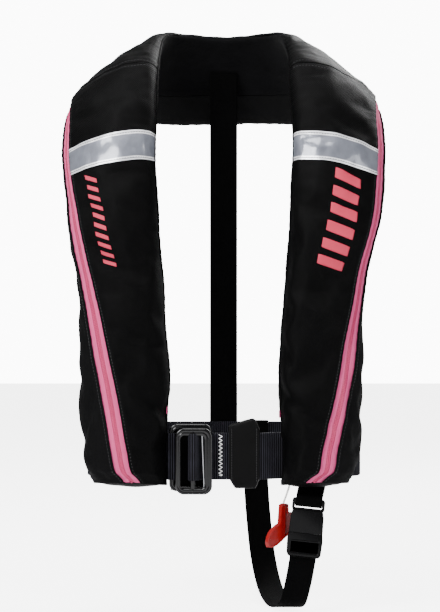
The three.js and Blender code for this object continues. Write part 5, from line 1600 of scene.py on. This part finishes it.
# Soft loop: at each x a flat oval round the belt's layers, between the top and bottom curves.
def makeKeeper(k):
    low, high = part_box("belt_keeper")
    t = np.linspace(0, 1, 41)
    soft = np.hanning(7) / np.hanning(7).sum()
    top, bottom = (np.interp(t, *np.array(k[key]).T) for key in ("top", "bottom"))
    top, bottom = (np.convolve(np.pad(c, 3, mode="edge"), soft, "valid") * mm for c in (top, bottom))
    x = k["left"] + (k["right"] - k["left"]) * t
    angle = np.linspace(0, 2 * np.pi, 144, endpoint=False)
    c, s = np.cos(angle), np.sin(angle)
    flatY = np.sign(c) * np.abs(c) ** 0.55
    flatZ = np.sign(s) * np.abs(s) ** 0.16

    def ring(inset):
        middleY, halfY = (low.y + high.y) / 2, (high.y - low.y) / 2 - inset
        middleZ, halfZ = (top + bottom) / 2, (top - bottom) / 2 - inset
        bow = k["bow"] * np.sin(np.pi * t)[:, None] * (c < 0) * (1 - flatZ ** 2)
        y = middleY + halfY * flatY - bow
        z = middleZ[:, None] + halfZ[:, None] * flatZ
        return np.stack([np.broadcast_to(x[:, None], z.shape), y, z], -1)

    points = np.concatenate([ring(0), ring(k["thickness"])[::-1]])
    rows, count = points.shape[:2]
    faces = gridFaces(rows + 1, count, wrap=True) % (rows * count)
    uv = np.stack([points[..., 2], points[..., 0]], -1)
    piece = makeObject("keeper_sleeve", points.reshape(-1, 3), [faces], uv.reshape(-1, 2))
    finishPiece(piece, satinWebbing, "belt_keeper", ["belt_keeper"])
    heights = np.linspace(bottom[20] + 6 * mm, top[20] - 6 * mm, 40)
    lines = []
    for share in k["stitchShares"]:
        line = np.stack([np.full(40, k["left"] + (k["right"] - k["left"]) * share),
                         np.full(40, low.y - 0.2 * mm), heights], -1)
        lines.append((line, np.tile([0, -1.0, 0], (40, 1))))
    makeStitches("keeper_stitching", lines, blackThread, "webbing", "belt_keeper", length=2 * mm,
                 pitch=2.7 * mm, radius=0.2 * mm)


makeKeeper(keeperSizes)

bartack = dict(x=-3.7 * mm, low=-425 * mm, high=-382 * mm, half=1.9 * mm, pitch=1.9 * mm,
               thread=0.38 * mm, knotHalf=1.6 * mm, knotRadius=0.4 * mm)


# Zigzag seam through both layers of the belt, with a knot across its foot.
def makeBartack(b):
    count = int((b["high"] - b["low"]) / b["pitch"])
    z = np.linspace(b["high"], b["low"], count)
    x = b["x"] + b["half"] * np.where(np.arange(count) % 2 == 0, -1, 1)
    y = np.full(count, beltSizes["frontY"] - beltSizes["thickness"] / 2)
    path = resample(np.stack([x, y, z], -1), 0.4 * mm)
    finishPiece(tube("belt_bartack", path, b["thread"], 8), whiteThread)
    knot = np.stack([b["x"] + np.linspace(-1, 1, 9) * b["knotHalf"], np.full(9, y[0]),
                     b["low"] - np.linspace(0, 1, 9) * 0.8 * mm], -1)
    finishPiece(tube("belt_bartack_knot", knot, b["knotRadius"], 8), whiteThread)


makeBartack(bartack)
print("waist buckle made")


# A piece in the shape of its node, with merged corners and rounded edges.
def refined(name, bevel, material, slotName, body="jacket", segments=3, angle=28):
    mesh = nodes[name].data.copy()
    mesh.name = name + "_rounded"
    work = bmesh.new()
    work.from_mesh(mesh)
    bmesh.ops.remove_doubles(work, verts=work.verts, dist=2e-6)
    bmesh.ops.dissolve_limit(work, angle_limit=math.radians(0.8), verts=work.verts, edges=work.edges)
    bmesh.ops.recalc_face_normals(work, faces=work.faces)
    work.to_mesh(mesh)
    work.free()
    mesh.polygons.foreach_set("use_smooth", np.ones(len(mesh.polygons), bool))
    piece = bpy.data.objects.new(name + "_rounded", mesh)
    bpy.context.scene.collection.objects.link(piece)
    soften = piece.modifiers.new("rounded", "BEVEL")
    soften.width = bevel
    soften.segments = segments
    soften.limit_method = "ANGLE"
    soften.angle_limit = math.radians(angle)
    soften.harden_normals = True
    soften.use_clamp_overlap = True
    return finishPiece(piece, material, body, [name])


refinedParts = [                     # node, edge radius, material, slot, body
    ("crotch_buckle_female", 0.8 * mm, blackPlastic, "black_plastic", "jacket"),
    ("crotch_buckle_male", 0.7 * mm, blackPlastic, "black_plastic", "crotch_buckle_male_half"),
    ("crotch_buckle_right_prong", 0.5 * mm, blackPlastic, "black_plastic", "right_prong"),
    ("crotch_buckle_left_prong", 0.5 * mm, blackPlastic, "black_plastic", "left_prong"),
    ("inflator_housing", 1.0 * mm, greyPlastic, "grey_plastic", "jacket"),
    ("inflator_lever", 0.6 * mm, redPlastic, "red_plastic", "inflator_lever"),
    ("pull_handle", 0.75 * mm, redPlastic, "red_plastic", "pull_handle"),
    ("whistle", 0.5 * mm, orangeRubber, "orange_rubber", "jacket"),
    ("zip_slider", 0.25 * mm, darkMetal, "dark_metal", "zip_slider"),
    ("zip_pull", 0.3 * mm, darkMetal, "dark_metal", "zip_pull"),
    ("lever_pin", 0.2 * mm, plainSteel, "plain_steel", "jacket"),
    ("piercing_pin", 0.2 * mm, plainSteel, "plain_steel", "piercing_pin"),
    ("bobbin", 0.3 * mm, orangeRubber, "orange_rubber", "inflator_cap"),
    ("oral_tube", 0.2 * mm, orangeRubber, "orange_rubber", "jacket"),
    ("oral_valve_body", 0.5 * mm, blackPlastic, "black_plastic", "jacket"),
    ("oral_valve_poppet", 0.4 * mm, greyPlastic, "grey_plastic", "oral_valve_poppet"),
]
for part in refinedParts:
    refined(*part)


bottle = dict(neck=8 * mm, bore=2.6 * mm, boreDeep=7 * mm, shoulder=15.5 * mm, rise=8 * mm, dome=8 * mm,
              threads=20, threadDeep=0.35 * mm)


# Gas bottle: a bore, a threaded neck, a shoulder that rises as a cosine, and an elliptic dome.
def makeCylinder(b):
    low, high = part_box("gas_cylinder")
    centre = ((low.x + high.x) / 2, (low.y + high.y) / 2, 0)
    radius, neck = (high.x - low.x) / 2, b["neck"]
    shoulder = low.z + b["shoulder"]
    threads = [(neck - (b["threadDeep"] if k % 2 else 0), low.z + 0.6 * mm + k * 0.5 * mm)
               for k in range(b["threads"])]
    rise = [(neck + (radius - neck) * (1 - math.cos(f * math.pi)) / 2, shoulder + f * b["rise"])
            for f in np.linspace(0, 1, 12)]
    dome = [(radius * math.cos(f * math.pi / 2), high.z - b["dome"] * (1 - math.sin(f * math.pi / 2)))
            for f in np.linspace(0, 0.985, 14)]
    profile = [(0.3 * mm, low.z + b["boreDeep"]), (b["bore"], low.z + b["boreDeep"]),
               (b["bore"], low.z + 0.2 * mm), (b["bore"] + 0.4 * mm, low.z), (neck - 0.6 * mm, low.z),
               *threads, (neck, shoulder - 0.5 * mm), *rise, *dome]
    piece = turned("gas_bottle", profile, centre, 72)
    finishPiece(piece, paintedSteel, "gas_cylinder", ["gas_cylinder"])


# Cap of the inflator: a hollow cup with rounded edges and 24 shallow grips round it.
def makeCap():
    low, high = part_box("inflator_cap")
    centre = ((low.x + high.x) / 2, (low.y + high.y) / 2, 0)
    radius = (high.x - low.x) / 2 - 0.25 * mm
    bottom = [(radius - inset * mm, low.z + rise * mm) for inset, rise in (
        (2.6, 0), (1.0, 0.1), (0.3, 0.5), (0, 1.2))]
    rim = [(radius - inset * mm, high.z - drop * mm) for inset, drop in (
        (0, 1.4), (0.3, 0.6), (0.7, 0), (2, 0))]
    profile = [*bottom, *rim, (radius - 2 * mm, low.z + 2.2 * mm), (1 * mm, low.z + 2.0 * mm)]
    piece = turned("inflator_grip_cap", profile, centre, 144, 0.02, 24)
    finishPiece(piece, blackPlastic, "inflator_cap", ["inflator_cap"])


buckleBars = {                       # on the front of the buckle's male half
    "upper": dict(z=-14.2 * mm, y=-3.4 * mm, radius=1.5 * mm),
    "lower": dict(z=-28.6 * mm, y=-2.6 * mm, radius=2.9 * mm),
}


# A rounded cross bar, as wide as the buckle.
def makeBuckleBar(name, b, half=16 * mm):
    ends = np.array([clipPlace(-half, b["y"], b["z"]), clipPlace(half, b["y"], b["z"])])
    piece = tube("crotch_buckle_%s_bar" % name, resample(ends, 2 * mm), b["radius"], 16)
    finishPiece(piece, blackPlastic, "crotch_buckle_male_half")


for barName, sizes in buckleBars.items():
    makeBuckleBar(barName, sizes)


# A flange turned about the fore-and-aft axis: a disc with a stepped, rounded rim.
def makeFlange(name):
    low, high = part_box(name)
    centre = np.array([(low.x + high.x) / 2, 0, (low.z + high.z) / 2])
    radius, deep = (high.x - low.x) / 2, high.y - low.y
    profile = np.array([(0.001, 0), (0.72, 0), (0.78, 0.25), (0.93, 0.35), (0.985, 0.5), (1.0, 0.75),
                        (0.99, 1.0), (0.001, 1.0)])
    angle = np.linspace(0, 2 * np.pi, 72, endpoint=False)
    r = profile[:, :1] * radius
    rings = np.stack([centre[0] + r * np.cos(angle), low.y + profile[:, 1:] * deep + 0 * angle,
                      centre[2] + r * np.sin(angle)], -1)
    piece = makeRings(name + "_disc", rings, rings[..., ::2])
    finishPiece(piece, filmYellow, stands=[name])


spring = dict(wire=0.4 * mm, turns=6.5, closed=0.07)


# Compression spring: a helix whose rise, t less a sine of t, draws its end turns together.
def makeSpring(p):
    low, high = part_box("pin_spring")
    centre = ((low.x + high.x) / 2, (low.y + high.y) / 2)
    wire = p["wire"]
    radius = (high.x - low.x) / 2 - wire
    t = np.linspace(0, 1, 260)
    turn = 2 * np.pi * p["turns"] * t
    z = low.z + wire + (high.z - low.z - 2 * wire) * (t - p["closed"] * np.sin(2 * np.pi * t))
    path = np.stack([centre[0] + radius * np.cos(turn), centre[1] + radius * np.sin(turn), z], -1)
    piece = tube("pin_spring_wire", path, wire, 8)
    finishPiece(piece, plainSteel, stands=["pin_spring"])
    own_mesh(piece)


makeCylinder(bottle)
makeCap()
makeFlange("inflator_flange")
makeFlange("oral_tube_flange")
makeSpring(spring)
print("fittings made")


tagSizes = dict(rows=((-1, -0.354), (1, -0.358)), width=8 * mm, reach=2.6 * mm, thickness=0.7 * mm)


# A folded tag that stands out of the inner seam on each side.
def makeTag(side, z):
    s0 = float(rowAtHeight(np.array([z]))[0]) * side
    cut = sectionsAt([s0])
    base = skin([s0], np.array([[0.0]]), 0.5 * mm)[0, 0]
    inwards = -cut["across"][0]
    along = cut["along"][0]
    path = base + inwards * np.linspace(-1.5, 1, 9)[:, None] * tagSizes["reach"]
    spread = np.hstack([path, np.tile(along, (9, 1))])
    piece = webbing(("left" if side > 0 else "right") + "_inner_tag", spread, tagSizes["width"],
                    tagSizes["thickness"])
    finishPiece(piece, zipTape)


for side, height in tagSizes["rows"]:
    makeTag(side, height)


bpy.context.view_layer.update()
left = [n for n, o in nodes.items() if not o.hide_render]
print("nodes still shown:", left)
